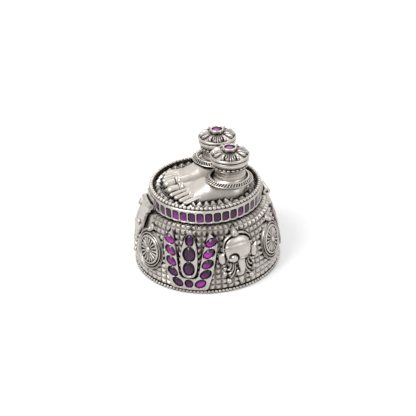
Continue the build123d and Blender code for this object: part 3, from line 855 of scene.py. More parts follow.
@dataclass
class Discus:
    """Disc motif: three rings, a spoked wheel, a hub and a flame on top."""

    skin: DrumSkin
    number: int
    angle: float
    height: float = 13.6
    radius: float = 8.3
    plate: float = 0.95
    grooves: Point = (7.25, 6.2)
    groove_width: float = 0.3
    groove_depth: float = 0.8
    ring_rise: float = 0.5
    edge_step: float = 0.5
    wheel: float = 5.2
    wheel_sink: float = 0.3
    spokes: int = 18
    spoke_rise: float = 0.85
    spoke_base: float = 0.6
    spoke_half: float = 0.62
    spoke_run: Point = (1.0, 5.1)
    spoke_foot: Point = (0.3, 0.75)
    spoke_round: float = 0.8
    spoke_steps: int = 14
    hub: float = 1.25
    hub_base: float = 0.7
    hub_rise: float = 2.0
    flame_foot: float = 21.5
    flame_tip: float = 24.8
    flame_half_width: float = 1.2
    flame_rise: float = 2.9

    def relief(self, x: Array, z: Array, inset: Array) -> Array:
        """Rise of the disc at each place.

        Args:
            x: Places across.
            z: Places up.
            inset: Distance from the outline; not used.

        Returns:
            The rise.
        """
        reach = np.hypot(x, z - self.height)
        rise = np.full_like(reach, self.plate + self.ring_rise)
        rise = rise - self.edge_step * (reach > self.radius - self.edge_step)
        for groove in self.grooves:
            rise = rise - self.groove_depth * ridge(reach - groove, self.groove_width)
        return np.where(reach < self.wheel, self.plate - self.wheel_sink, rise)

    def hub_relief(self, x: Array, z: Array, inset: Array) -> Array:
        """Rise of the round hub."""
        share = 1 - np.clip(inset / self.hub, 0, 1)
        return self.hub_base + (self.hub_rise - self.hub_base) * dome(share)

    def flame(self, x: Array, z: Array, inset: Array) -> Array:
        """Rise of the flame on top of the disc."""
        return self.flame_rise * dome(1 - np.clip(inset / self.flame_half_width, 0, 1))

    def add_spokes(self, draft: Draft, place: Place) -> None:
        """Add the wheel's spokes, each swelling to a round end.

        Args:
            draft: Draft to add to.
            place: Turns a place on the sheet and a rise into a point.
        """
        along = np.linspace(0, 1, self.spoke_steps)
        reach = np.linspace(*self.spoke_run, self.spoke_steps)
        wide, high = (foot + (1 - foot) * along for foot in self.spoke_foot)
        tip = np.clip((along - self.spoke_round) / (1 - self.spoke_round), 0, BLUNT)
        half, crown = self.spoke_half * wide * dome(tip), self.spoke_rise * high
        for spoke in range(self.spokes):
            angle = FULL_TURN * spoke / self.spokes
            line = np.stack([reach * math.sin(angle), self.height + reach * math.cos(angle)], axis=-1)
            ribbon(draft, place, line, half, crown, self.spoke_base)

    def build(self, workshop: Workshop) -> None:
        """Make and dress the disc.

        Args:
            workshop: Workshop that dresses the pieces.
        """
        draft = Draft()
        place = self.skin.place(self.angle)
        centre = (0.0, self.height)
        rim = oval(centre, 2 * self.radius, 2 * self.radius, 0, count=120)
        plaque(draft, place, rim, (centre, centre), self.relief, rings=80)
        self.add_spokes(draft, place)
        hub = oval(centre, 2 * self.hub, 2 * self.hub, 0, count=24)
        plaque(draft, place, hub, (centre, centre), self.hub_relief, rings=8)
        belly = self.flame_foot + self.flame_half_width
        right = smooth_through(
            ((0.0, self.flame_foot), (self.flame_half_width, belly), (0.0, self.flame_tip)), 15
        )
        spine = ((0.0, belly), (0.0, self.flame_tip - self.flame_half_width))
        plaque(draft, place, both_sides(right), spine, self.flame, rings=8)
        workshop.dress(
            draft.to_object(f"discus_relief_{self.number}", crease=50),
            CAST_SILVER,
            Body.BASE,
            f"discus_{self.number}",
        )


@dataclass(frozen=True)
class Tendril:
    """One tendril beside the conch's spout, with the middle and radius of the bead on its end."""

    knots: Line
    bead: Point
    radius: float


@dataclass(frozen=True)
class Drop:
    """One drop of the conch: right half, samples, shift, heights of its spine, half width and rise."""

    knots: Line
    samples: int
    shift: float
    heights: Point
    form: Point


SCROLL = (
    Tendril(((2.05, 12.9), (2.15, 10.5), (2.6, 8.8), (3.5, 7.4), (4.5, 6.1)), (4.85, 5.2), 1.2),
    Tendril(((2.8, 12.9), (3.0, 10.6), (3.8, 9.0), (5.2, 8.2)), (6.3, 8.6), 1.0),
    Tendril(((3.55, 13.0), (3.8, 11.4), (4.6, 10.3), (5.4, 10.3)), (6.1, 10.7), 0.8),
)
CROWN_DROP = Drop(((0.0, 23.0), (1.6, 24.1), (1.1, 25.6), (0.0, 27.6)), 15, -0.6, (24.3, 25.6), (1.3, 2.9))
TAIL_DROP = Drop(
    ((0.0, 2.7), (0.7, 3.6), (1.35, 5.3), (0.9, 6.3), (0.0, 6.4)), 17, 0.3, (4.4, 5.3), (1.1, 1.7)
)


@dataclass
class Conch:
    """Conch motif: a domed shell with bands and a whorl, between tulips, tendrils and beads."""

    skin: DrumSkin
    number: int
    angle: float
    edge: float = 0.9
    crown: float = 1.35
    crown_width: float = 3.2
    band_heights: tuple[float, float, float] = (20.5, 14.7, 13.4)
    groove: float = 0.4
    groove_width: float = 0.38
    whorl: Point = (-2.5, 14.9)
    whorl_radius: float = 1.9
    whorl_rise: float = 0.5
    whorl_turn: float = 1.2
    whorl_run: Point = (0.45, 0.75)
    moat: float = 1.1
    moat_width: float = 0.42
    moat_end: float = 0.78
    moat_fade: float = 0.1
    band_bow: float = 0.02
    band_from: float = 0.2
    band_fade: float = 0.4
    rim_rise: float = 0.5
    shell_knots: Line = (
        (-0.6, 12.6), (1.8, 12.7), (3.6, 13.6), (5.2, 15.6), (5.7, 18.2), (5.3, 20.6), (4.0, 22.2),
        (1.8, 23.0), (-0.4, 23.1), (-2.6, 22.5), (-4.4, 21.2), (-5.3, 19.2), (-5.3, 16.6), (-4.5, 14.0),
        (-2.8, 12.9),
    )
    shell_spine: tuple[Point, Point] = ((-1.5, 17.2), (1.5, 18.0))
    spout_knots: Line = (
        (0.9, 13.6), (0.95, 11.2), (0.95, 9.2), (0.35, 7.85), (-0.75, 7.6), (-1.35, 8.4), (-0.8, 9.2)
    )
    spout_halves: Line = ((0.0, 1.7), (0.3, 1.5), (0.55, 1.3), (0.75, 0.95), (1.0, 0.5))
    spout_rise: float = 1.3
    spout_base: float = 0.6
    halo_knots: Line = (
        (-5.9, 16.6), (-5.9, 19.4), (-4.9, 22.0), (-2.8, 23.6), (0.0, 24.2), (2.8, 23.9), (5.0, 22.4),
        (6.3, 19.8),
    )
    halo_half: Point = (0.38, 0.38)
    halo_rise: float = 1.7
    tulip_knots: Line = (
        (6.9, 12.6), (7.9, 13.3), (8.35, 15.0), (8.25, 16.8), (8.5, 18.4), (7.6, 17.6), (6.8, 17.3),
        (6.0, 17.6), (5.3, 18.1), (5.5, 16.6), (5.4, 15.0), (5.8, 13.3),
    )
    tulip_spine: tuple[Point, Point] = ((6.85, 14.5), (6.9, 15.8))
    tulip_form: Point = (1.4, 1.75)
    collars: tuple[Line, ...] = (
        ((6.7, 18.5), (5.9, 18.3), (5.0, 18.0)),
        ((6.7, 19.25), (5.9, 19.05), (5.0, 18.9)),
    )
    collar_half: Point = (0.3, 0.34)
    collar_rise: float = 1.3
    scroll_half: Point = (0.36, 0.46)
    scroll_rise: float = 1.55
    lone_bead: Point = (6.4, 12.1)
    lone_radius: float = 0.6
    bead_base: float = 0.75
    tendril_steps: int = 22
    tip_round: float = 15.8
    tip_least: Point = (0.1, 0.3)

    def shell_outline(self) -> Array:
        """Outline of the shell without its spout."""
        return smooth_through(self.shell_knots, 150, closed=True)

    def shell(self, x: Array, z: Array, inset: Array) -> Array:
        """Rise of the shell, with its bands and whorl.

        Args:
            x: Places across.
            z: Places up.
            inset: Distance from the outline.

        Returns:
            The rise.
        """
        rise = self.edge + self.crown * dome(1 - np.clip(inset / self.crown_width, 0, 1))
        for number, band in enumerate(self.band_heights):
            right_only = 1.0 if number == 0 else np.clip((x - self.band_from) / self.band_fade, 0, 1)
            line = z - band + self.band_bow * x**2
            rise = rise - right_only * self.groove * ridge(line, self.groove_width)
        dx, dz = x - self.whorl[0], z - self.whorl[1]
        reach = np.hypot(dx, dz)
        lobe = dome(np.clip(reach / self.whorl_radius, 0, 1))
        winding = np.mod(np.arctan2(dz, dx) + self.whorl_turn, FULL_TURN) / FULL_TURN
        spiral = reach - self.whorl_radius * (self.whorl_run[0] + self.whorl_run[1] * (1 - winding))
        hook = ridge(spiral, self.moat_width) * np.clip((self.moat_end - winding) / self.moat_fade, 0, 1)
        return rise + self.whorl_rise * lobe - self.moat * hook

    def round_relief(self, half: float, rise: float) -> Relief:
        """Give the relief of a round-topped form of that half width and rise.

        Args:
            half: Half width of the form.
            rise: Rise of its crown.

        Returns:
            The relief.
        """

        def relief(x: Array, z: Array, inset: Array) -> Array:
            """Rise of the form at each place."""
            return self.rim_rise + (rise - self.rim_rise) * dome(1 - np.clip(inset / half, 0, 1))

        return relief

    def add_tulip(self, draft: Draft, place: Place, side: int) -> None:
        """Add one tulip: a bulb with two ears and a small collar.

        Args:
            draft: Draft to add to.
            place: Turns a place on the sheet and a rise into a point.
            side: Sign of the side, 1 to the right.
        """
        outline = smooth_through(self.tulip_knots, 60, closed=True) * (side, 1)
        spine = np.array(self.tulip_spine) * (side, 1)
        plaque(draft, place, outline, spine, self.round_relief(*self.tulip_form), rings=10)
        for knots in self.collars:
            self.add_tendril(draft, place, np.array(knots) * (side, 1), self.collar_half, self.collar_rise)

    def add_tendril(self, draft: Draft, place: Place, knots: Array, half: Point, rise: float) -> None:
        """Add a round ridge through its knots, with half widths at its two ends and a rise.

        Args:
            draft: Draft to add to.
            place: Turns a place on the sheet and a rise into a point.
            knots: Points on the ridge's line.
            half: Half widths at the two ends.
            rise: Rise of the ridge.
        """
        line = smooth_through(knots, self.tendril_steps)
        share = np.linspace(0, 1, self.tendril_steps)
        tips = dome(self.tip_round * np.abs(share - 0.5) ** 4)
        wide, high = (np.maximum(tips, least) for least in self.tip_least)
        width = (half[0] + share * (half[1] - half[0])) * wide
        ribbon(draft, place, line, width, (rise - self.rim_rise) * high, self.rim_rise)

    def add_bead(self, draft: Draft, place: Place, centre: Point, radius: float) -> None:
        """Add one round bead.

        Args:
            draft: Draft to add to.
            place: Turns a place on the sheet and a rise into a point.
            centre: Middle of the bead.
            radius: Radius of the bead.
        """
        bead = oval(centre, 2 * radius, 2 * radius, 0, 20)
        relief = self.round_relief(radius, self.bead_base + radius)
        plaque(draft, place, bead, (centre, centre), relief, rings=8)

    def add_scroll(self, draft: Draft, place: Place, side: int) -> None:
        """Add three tendrils that fan down beside the spout, each with a bead on its end.

        Args:
            draft: Draft to add to.
            place: Turns a place on the sheet and a rise into a point.
            side: Sign of the side, 1 to the right.
        """
        for tendril in SCROLL:
            knots = np.array(tendril.knots) * (side, 1)
            self.add_tendril(draft, place, knots, self.scroll_half, self.scroll_rise)
            self.add_bead(draft, place, (tendril.bead[0] * side, tendril.bead[1]), tendril.radius)
        self.add_bead(draft, place, (self.lone_bead[0] * side, self.lone_bead[1]), self.lone_radius)

    def add_drops(self, draft: Draft, place: Place) -> None:
        """Add the crown's drop and the tail's drop.

        Args:
            draft: Draft to add to.
            place: Turns a place on the sheet and a rise into a point.
        """
        for drop in (CROWN_DROP, TAIL_DROP):
            outline = both_sides(smooth_through(drop.knots, drop.samples)) + (drop.shift, 0)
            spine = tuple((drop.shift, height) for height in drop.heights)
            plaque(draft, place, outline, spine, self.round_relief(*drop.form), rings=8)

    def build(self, workshop: Workshop) -> None:
        """Make and dress the conch.

        Args:
            workshop: Workshop that dresses the pieces.
        """
        draft = Draft()
        place = self.skin.place(self.angle)
        plaque(draft, place, self.shell_outline(), self.shell_spine, self.shell, rings=44)
        line = smooth_through(self.spout_knots, 40)
        half = np.interp(np.linspace(0, 1, len(line)), *np.transpose(self.spout_halves))
        ribbon(draft, place, line, half, np.full(len(line), self.spout_rise), self.spout_base)
        self.add_tendril(draft, place, np.array(self.halo_knots), self.halo_half, self.halo_rise)
        for side in Side:
            self.add_tulip(draft, place, side.value)
            self.add_scroll(draft, place, side.value)
        self.add_drops(draft, place)
        workshop.dress(
            draft.to_object(f"conch_relief_{self.number}", crease=55),
            CAST_SILVER,
            Body.BASE,
            f"conch_{self.number}",
        )


@dataclass(frozen=True)
class Stone:
    """One cut stone on the sheet of its setting."""

    centre: Point
    long: float
    short: float
    tilt: float

    def outside(self, x: Array, z: Array) -> Array:
        """Distance outside the stone's girdle."""
        return outside_oval(x, z, self.centre, self.long, self.short, self.tilt)


class StoneCutter:
    """Cuts stones, each with its own painted inner light and shade, from one seeded row of draws."""

    edge_light: Point = (0.2, 0.8)
    light_lean: float = 0.6
    upper_light: float = -0.6
    crescent_width: float = 2.0
    crescent_light: float = 1.1
    table_light: float = 0.15
    girdle_width: float = 0.45
    girdle_shade: float = 0.4

    def __init__(self, seed: int) -> None:
        """Seed the draws."""
        self.draws = np.random.default_rng(seed)

    def cut(
        self,
        draft: Draft,
        place: Place,
        outline: Array,
        centre: Point,
        size: float,
        rise: tuple[float, float],
        crown: float,
        light: Point,
    ) -> None:
        """Add a stone with a flat table and a sloping crown.

        Args:
            draft: Draft to add to.
            place: Mapping from its setting's sheet.
            outline: Girdle of the stone.
            centre: Middle of the stone.
            size: Height of the stone on the sheet.
            rise: Rise of the girdle and of the table.
            crown: Width of the crown.
            light: Least and most painted inner light.
        """
        least = (light[0], self.edge_light[0], -self.light_lean)
        most = (light[1], self.edge_light[1], self.light_lean)
        level, edge, lean = self.draws.uniform(least, most)

        def cut_relief(x: Array, z: Array, inset: Array) -> Array:
            """Rise of the crown and the table."""
            return rise[0] + (rise[1] - rise[0]) * np.clip(inset / crown, 0, 1)

        def cut_painted_light(x: Array, z: Array, inset: Array) -> Array:
            """Painted light gathered in a crescent of the lower crown, darker towards the top, inside
            painted shade at the girdle.

            Args:
                x: Places across.
                z: Places up.
                inset: Distance from the outline.

            Returns:
                The painted inner light and shade.
            """
            # Painted light: a bright crescent low in the crown and a darker top; painted shade: a dark band
            # just inside the girdle.
            down = (centre[1] - z + lean * (x - centre[0])) / (size / 2)
            rim = 1 - np.clip(inset / (self.crescent_width * crown), 0, 1)
            girdle = 1 - np.clip(inset / (self.girdle_width * crown), 0, 1)
            gathered = np.clip(down, self.upper_light, 1) * (self.table_light + self.crescent_light * rim)
            return level + edge * gathered - self.girdle_shade * girdle

        plaque(draft, place, outline, (centre, centre), cut_relief, rings=7, painted_light=cut_painted_light)


@dataclass
class Namam:
    """Forehead mark: a cup with two arms and a middle flame, both set with stones."""

    skin: DrumSkin
    number: int
    angle: float
    cutter: StoneCutter
    tip: float
    plate: float = 1.6
    rail: float = 0.2
    rail_width: float = 0.35
    pocket: float = 0.75
    pocket_gap: float = 0.3
    pocket_slope: float = 0.12
    stone_rise: Point = (1.15, 1.75)
    stone_crown: float = 0.8
    stone_size: Point = (4.15, 3.0)
    bright_light: Point = (0.3, 0.85)
    dark_light: Point = (0.08, 0.3)
    large_stone: float = 3.5
    stone_tilt: float = 38.0
    waist: float = 20.3
    arm: Line = ((4.4, 5.15), (6.4, 9.35), (7.05, 13.6), (7.45, 17.9), (8.2, 22.3))
    cup_middle: Stone = Stone((0.0, 5.0), 3.3, 2.9, 90)
    flame_low: tuple[Stone, Stone] = (Stone((0.0, 11.4), 5.2, 4.1, 90), Stone((0.0, 17.4), 5.5, 4.5, 90))
    drop_heights: tuple[float, float, float] = (20.9, 22.9, 25.0)
    drop_width: float = 2.8
    outer_knots: Line = (
        (7.2, 25.9), (9.3, 23.6), (10.2, 21.6), (10.0, 18.0), (9.6, 14.0), (8.9, 9.4), (8.0, 5.6),
        (6.9, 2.7), (4.5, 2.4), (2.2, 2.4), (0.0, 2.4),
    )
    inner_knots: Line = (
        (7.2, 25.9), (6.35, 23.4), (5.95, 21.4), (5.2, 18.0), (4.6, 14.0), (4.05, 10.2), (3.6, 8.6),
        (2.9, 7.7), (1.9, 7.35), (0.9, 7.3), (0.0, 7.3),
    )
    flame_knots: Line = ((0.0, 7.6), (2.0, 8.3), (3.0, 10.8), (3.25, 14.5), (3.1, 18.0), (2.6, 20.9))
    flame_shoulder: Point = (1.5, 24.2)
    flame_spine: Point = (10.5, 24.0)
    steps: int = 240
    strips: int = 45

    def cup_stones(self) -> list[Stone]:
        """Stones of the cup: four up each arm, one at each corner and one in the middle.

        Returns:
            The stones.
        """
        stones = [self.cup_middle]
        for side in Side:
            tilt = 90 - side.value * (90 - self.stone_tilt)
            stones += [Stone((side.value * x, z), *self.stone_size, tilt) for x, z in self.arm]
        return stones

    def setting(self, rise: Array, x: Array, z: Array, edge: Array, stones: list[Stone]) -> Array:
        """Add a rail and pockets to a plate.

        Args:
            rise: Rise of the bare plate.
            x: Places across.
            z: Places up.
            edge: Distance from the plate's edge.
            stones: Stones that the plate holds.

        Returns:
            The rise with its settings.
        """
        rise = rise + self.rail * ridge(edge - self.rail_width, self.rail_width)
        for stone in stones:
            inside = np.clip((self.pocket_gap - stone.outside(x, z)) / self.pocket_slope, 0, 1)
            rise = rise - inside * (rise - self.plate + self.pocket)
        return rise

    def cup_piece(self) -> bpy.types.Object:
        """Build the cup as a ribbon from one tip to the other.

        Returns:
            The piece.
        """
        halves = [smooth_through(knots, self.steps) for knots in (self.outer_knots, self.inner_knots)]
        out, inn = (np.vstack([half, half[-2::-1] * (-1, 1)])[:, None] for half in halves)
        share = np.linspace(0, 1, self.strips)[None, :, None]
        sheet = inn + (out - inn) * share
        width = np.linalg.norm(out - inn, axis=-1)
        edge = (0.5 - np.abs(share[..., 0] - 0.5)) * width
        x, z = sheet[..., 0], sheet[..., 1]
        rise = self.setting(np.full_like(x, self.plate), x, z, edge, self.cup_stones())
        sheet, rise = skirted(sheet, rise)
        draft = Draft()
        draft.grid(self.skin.place(self.angle)(sheet[..., 0], sheet[..., 1], rise))
        return draft.to_object(f"mark_cup_{self.number}", crease=50)

    @property
    def share(self) -> float:
        """Length of this flame's drop, as a share of the full one's."""
        return (self.tip - self.waist) / (FLAME_TIP - self.waist)

    def stretch(self, height: float) -> float:
        """Move a height of the full flame's drop down to this flame's tip."""
        return self.waist + (height - self.waist) * self.share

    def flame_stones(self) -> list[Stone]:
        """Stones of the flame, from its foot up.

        Returns:
            The stones.
        """
        low, middle, high = (self.stretch(height) for height in self.drop_heights)
        return [*self.flame_low, Stone((0.0, middle), high - low, self.drop_width * self.share, 90)]

    def flame_piece(self) -> bpy.types.Object:
        """Build the flame with its three settings.

        Returns:
            The piece.
        """
        stones = self.flame_stones()
        shoulder = (self.flame_shoulder[0], self.stretch(self.flame_shoulder[1]))
        outline = both_sides(smooth_through((*self.flame_knots, shoulder, (0.0, self.tip)), 120))
        spine = ((0.0, self.flame_spine[0]), (0.0, self.stretch(self.flame_spine[1])))

        def relief(x: Array, z: Array, inset: Array) -> Array:
            """Rise of the flame's plate and settings."""
            return self.setting(np.full_like(x, self.plate), x, z, inset, stones)

        draft = Draft()
        plaque(draft, self.skin.place(self.angle), outline, spine, relief, rings=40)
        return draft.to_object(f"mark_flame_{self.number}", crease=50)

    def stone_piece(self, stones: list[Stone], name: str) -> bpy.types.Object:
        """Cut a row of stones into one piece.

        Args:
            stones: Stones to cut.
            name: Name of the piece.

        Returns:
            The piece.
        """
        draft = Draft()
        place = self.skin.place(self.angle)
        for stone in stones:
            girdle = oval(stone.centre, stone.long, stone.short, stone.tilt, count=16)
            light = self.dark_light if stone.short > self.large_stone else self.bright_light
            rise, crown = self.stone_rise, self.stone_crown
            self.cutter.cut(draft, place, girdle, stone.centre, stone.short, rise, crown, light)
        return draft.to_object(name, crease=14)

    def build(self, workshop: Workshop) -> None:
        """Make and dress the cup, the flame and their stones.

        Args:
            workshop: Workshop that dresses the pieces.
        """
        number = self.number
        workshop.dress(self.cup_piece(), CAST_SILVER, Body.BASE, f"namam_cup_{number}")
        workshop.dress(self.flame_piece(), CAST_SILVER, Body.BASE, f"namam_flame_{number}")
        cup = self.stone_piece(self.cup_stones(), f"cup_paste_stones_{number}")
        workshop.dress(cup, MAGENTA_PASTE, Body.BASE, f"namam_cup_stones_{number}")
        flame = self.stone_piece(self.flame_stones(), f"flame_paste_stones_{number}")
        workshop.dress(flame, MAGENTA_PASTE, Body.BASE, f"namam_flame_stones_{number}")


@dataclass
class LidRing:
    """Lid band with its row of stones, the beaded wire on top, and the recessed plate."""

    cutter: StoneCutter
    radius: float = 22.9
    inner: float = 21.35
    base: float = 28.0
    height: float = 6.0
    stations: int = 42
    stone: Point = (2.75, 4.1)
    stone_corner: float = 0.8
    stone_lift: float = 0.75
    stone_depth: float = 0.75
    stone_rise: Point = (0.25, 0.65)
    stone_crown: float = 0.5
    stone_light: Point = (0.2, 0.6)
    corner_cut: float = 0.45
    lip: float = 0.18
    lip_width: float = 0.25
    lip_inset: float = 0.4
    edge_round: Point = (0.25, 0.22)
    pocket_slope: float = 0.12
    cell: int = 18
    strips: int = 33
    fittings: Point = (10.0, 11.2)
    margin: float = 0.15
    beads: int = 82
    bead_half: Point = (0.75, 0.68)
    bead_neck: float = 0.3
    bead_sink: float = 0.05
    deck: float = DECK
    deck_thickness: float = 1.0
    pyramids: int = 38
    pyramid_rings: tuple[float, float, float] = (14.5, 17.75, 21.0)
    pyramid_height: float = 1.5
    pyramid_fill: float = 0.88
    pyramid_tip: float = 0.94
    facets: int = 16
    rings: int = 49

    @property
    def stone_middle(self) -> float:
        """Height of the row of stones."""
        return self.base + self.stone_lift + self.stone[1] / 2

    def is_free(self, station: int) -> bool:
        """Whether a station clears the hasp's bracket and the hinge's leaf.

        Args:
            station: Number of the station, from the hasp round.

        Returns:
            True where a stone fits.
        """
        angle = FULL_TURN * station / self.stations
        width = self.fittings[0] if math.cos(angle) > 0 else self.fittings[1]
        return abs(self.radius * math.sin(angle)) > (width + self.stone[0]) / 2 + self.margin

    def outside_stone(self, x: Array, z: Array) -> Array:
        """Distance outside a stone's round-cornered girdle.

        Args:
            x: Places across.
            z: Places up.

        Returns:
            The distance, less than nothing inside.
        """
        qx = np.abs(x) - self.stone[0] / 2 + self.stone_corner
        qz = np.abs(z - self.stone_middle) - self.stone[1] / 2 + self.stone_corner
        corner = np.hypot(np.maximum(qx, 0), np.maximum(qz, 0))
        return corner + np.minimum(np.maximum(qx, qz), 0) - self.stone_corner

    def place(self, station: int) -> Place:
        """Give the mapping from a flat stone to its pocket in the band.

        Args:
            station: Number of the station, from the hasp round.

        Returns:
            The mapping.
        """
        turn = FULL_TURN * station / self.stations

        def on_band(x: Array, z: Array, rise: Array) -> Array:
            """Place a point of the stone on the band."""
            return round_axis(self.radius - self.stone_depth + rise, turn + x / self.radius, z)

        return on_band

    def band_piece(self) -> bpy.types.Object:
        """Build the band with a pocket at each free station.

        Returns:
            The piece.
        """
        angle = np.linspace(0, FULL_TURN, self.stations * self.cell, endpoint=False)
        station = np.round(angle * self.stations / FULL_TURN).astype(int)
        free = np.array([self.is_free(index) for index in station % self.stations])
        x = (angle - station * FULL_TURN / self.stations) * self.radius
        rows = np.linspace(self.base, self.base + self.height, self.strips)[:, None]
        gap = np.where(free, self.outside_stone(x[None], rows), self.stone[0])
        edge = np.minimum(rows - self.base, self.base + self.height - rows)
        rise = self.lip * ridge(gap - self.lip_width, self.lip_width)
        rise = rise - self.edge_round[0] * ridge(edge, self.edge_round[1])
        rise = rise + self.lip * ridge(edge - self.lip_inset, self.lip_width)
        rise = rise - np.clip(-gap / self.pocket_slope, 0, 1) * self.stone_depth
        outer = round_axis(self.radius + rise, angle, np.broadcast_to(rows, rise.shape))
        back = np.array([(self.inner, self.base + self.height), (self.inner, self.base)])
        wall = turned(back, len(angle))
        wall = np.stack([wall[..., 1], -wall[..., 0], wall[..., 2]], axis=-1)
        draft = Draft()
        draft.loop(np.concatenate([outer, wall]))
        return draft.to_object("stone_set_lid_band", crease=50)

    def stone_piece(self) -> bpy.types.Object:
        """Cut the band's stones.

        Returns:
            The piece.
        """
        draft = Draft()
        half_x, half_z = self.stone[0] / 2, self.stone[1] / 2
        cut = self.corner_cut * self.stone_corner
        middle = self.stone_middle
        corner = [(half_x, half_z - self.stone_corner), (half_x - cut / 2, half_z - cut / 2)]
        corner.append((half_x - self.stone_corner, half_z))
        quarter = np.array(corner)
        loop = [quarter, quarter[::-1] * (-1, 1), quarter * (-1, -1), quarter[::-1] * (1, -1)]
        girdle = np.vstack(loop) + (0, middle)
        for station in range(self.stations):
            if self.is_free(station):
                self.cutter.cut(
                    draft,
                    self.place(station),
                    girdle,
                    (0.0, middle),
                    self.stone[1],
                    self.stone_rise,
                    self.stone_crown,
                    self.stone_light,
                )
        return draft.to_object("band_paste_stones", crease=14)

    def bead_piece(self) -> bpy.types.Object:
        """Build the beaded wire on the band's top edge.

        Returns:
            The piece.
        """
        draft = Draft()
        middle = (self.inner + self.radius) / 2
        height = self.base + self.height + self.bead_half[1] - self.bead_sink
        draft.loop(beaded_ring(middle, height, self.bead_half, self.beads, self.bead_neck))
        return draft.to_object("beaded_lid_wire", crease=70)

    def plate_piece(self) -> bpy.types.Object:
        """Build the plate with its rings of pyramids.

        Returns:
            The piece.
        """
        columns = self.pyramids * self.facets
        angle = np.linspace(0, FULL_TURN, columns, endpoint=False)
        low, _, high = self.pyramid_rings
        reach = np.concatenate([[0], np.linspace(low, high, self.rings), [self.inner]])[:, None]
        ring = np.clip((reach - low) / (high - low), 0, 1) * (len(self.pyramid_rings) - 1)
        across = np.abs(2 * ((angle * self.pyramids / FULL_TURN) % 1) - 1)
        along = np.abs(2 * (ring % 1) - 1)
        share = 1 - np.maximum(across, along) / self.pyramid_fill
        rise = self.pyramid_height * np.clip(share, 0, self.pyramid_tip)
        rise[[0, -1]] = 0
        top = np.stack([reach * np.cos(angle), reach * np.sin(angle), self.deck + rise], axis=-1)
        low_face = self.deck - self.deck_thickness
        under = turned(np.array([(self.inner, low_face), (0, low_face)]), columns)
        draft = Draft()
        draft.grid(np.concatenate([top, under]))
        return draft.to_object("pyramid_lid_plate", crease=20)

    def build(self, workshop: Workshop) -> None:
        """Make and dress the band, its stones, its wire and the plate.

        Args:
            workshop: Workshop that dresses the pieces.
        """
        workshop.dress(self.band_piece(), CAST_SILVER, Body.LID, "lid_band")
        workshop.dress(self.stone_piece(), MAGENTA_PASTE, Body.LID, "band_stones")
        workshop.dress(self.bead_piece(), CAST_SILVER, Body.LID, "lid_bead_wire")
        workshop.dress(self.plate_piece(), BLACKENED_SILVER, Body.LID, "lid_plate")


@dataclass(frozen=True)
class Toe:
    """One toe: middle of its round tip, its root in the instep, and radius and crest at both."""

    tip: Point
    root: Point
    radius: Point
    crest: Point
    slim: float

    def at(self, run: Array) -> tuple[Array, Array]:
        """Radius and crest of the toe at each place along it, slimmer behind its pad.

        Args:
            run: Distances from the middle of the tip.

        Returns:
            The radii and the heights of the crest.
        """
        share = np.clip(run / math.dist(self.tip, self.root), 0, 1)
        slim = self.slim * np.sin(math.pi * share) ** 2
        radius = np.interp(share, (0, 1), self.radius) * (1 - slim)
        return radius, np.interp(share, (0, 1), self.crest) - self.radius[0] * slim

    def net(self, deck: float) -> Array:
        """Net of the toe over a deck, as rows by columns by three.

        Args:
            deck: Height of the plate that the foot stands on.

        Returns:
            Points, as rows by columns by three.
        """
        length = math.dist(self.tip, self.root)
        tip_run = self.radius[0] * np.sin(np.linspace(-math.pi / 2, 0, 9))
        run = np.concatenate([tip_run, np.linspace(0, length, 24)[1:]])
        radius, crest = self.at(run)
        reach = np.where(run < 0, np.sqrt(np.maximum(radius**2 - run**2, 0)), radius)
        reach, run = np.append(reach, 0)[:, None], np.append(run, length)[:, None]
        middle = np.append(crest - radius, crest[-1] - radius[-1])[:, None]
        angle = np.linspace(0, FULL_TURN, 28, endpoint=False)
        ahead = (np.array(self.root) - self.tip) / length
        x = self.tip[0] + ahead[0] * run - ahead[1] * reach * np.cos(angle)
        y = self.tip[1] + ahead[1] * run + ahead[0] * reach * np.cos(angle)
        return np.stack([x, y, deck + middle + reach * np.sin(angle)], axis=-1)


BIG_TOE = Toe((2.6, -15.0), (3.3, -3.5), (2.15, 2.3), (3.4, 4.5), 0.03)
SMALL_TOES = (
    Toe((6.35, -15.5), (5.5, -5.8), (1.2, 1.3), (2.4, 4.1), 0.06),
    Toe((8.95, -14.4), (7.6, -5.4), (1.18, 1.25), (2.3, 4.0), 0.06),
    Toe((11.45, -13.2), (9.8, -5.0), (1.15, 1.2), (2.1, 3.6), 0.06),
    Toe((13.6, -12.0), (11.7, -4.6), (1.1, 1.15), (1.9, 2.9), 0.06),
)


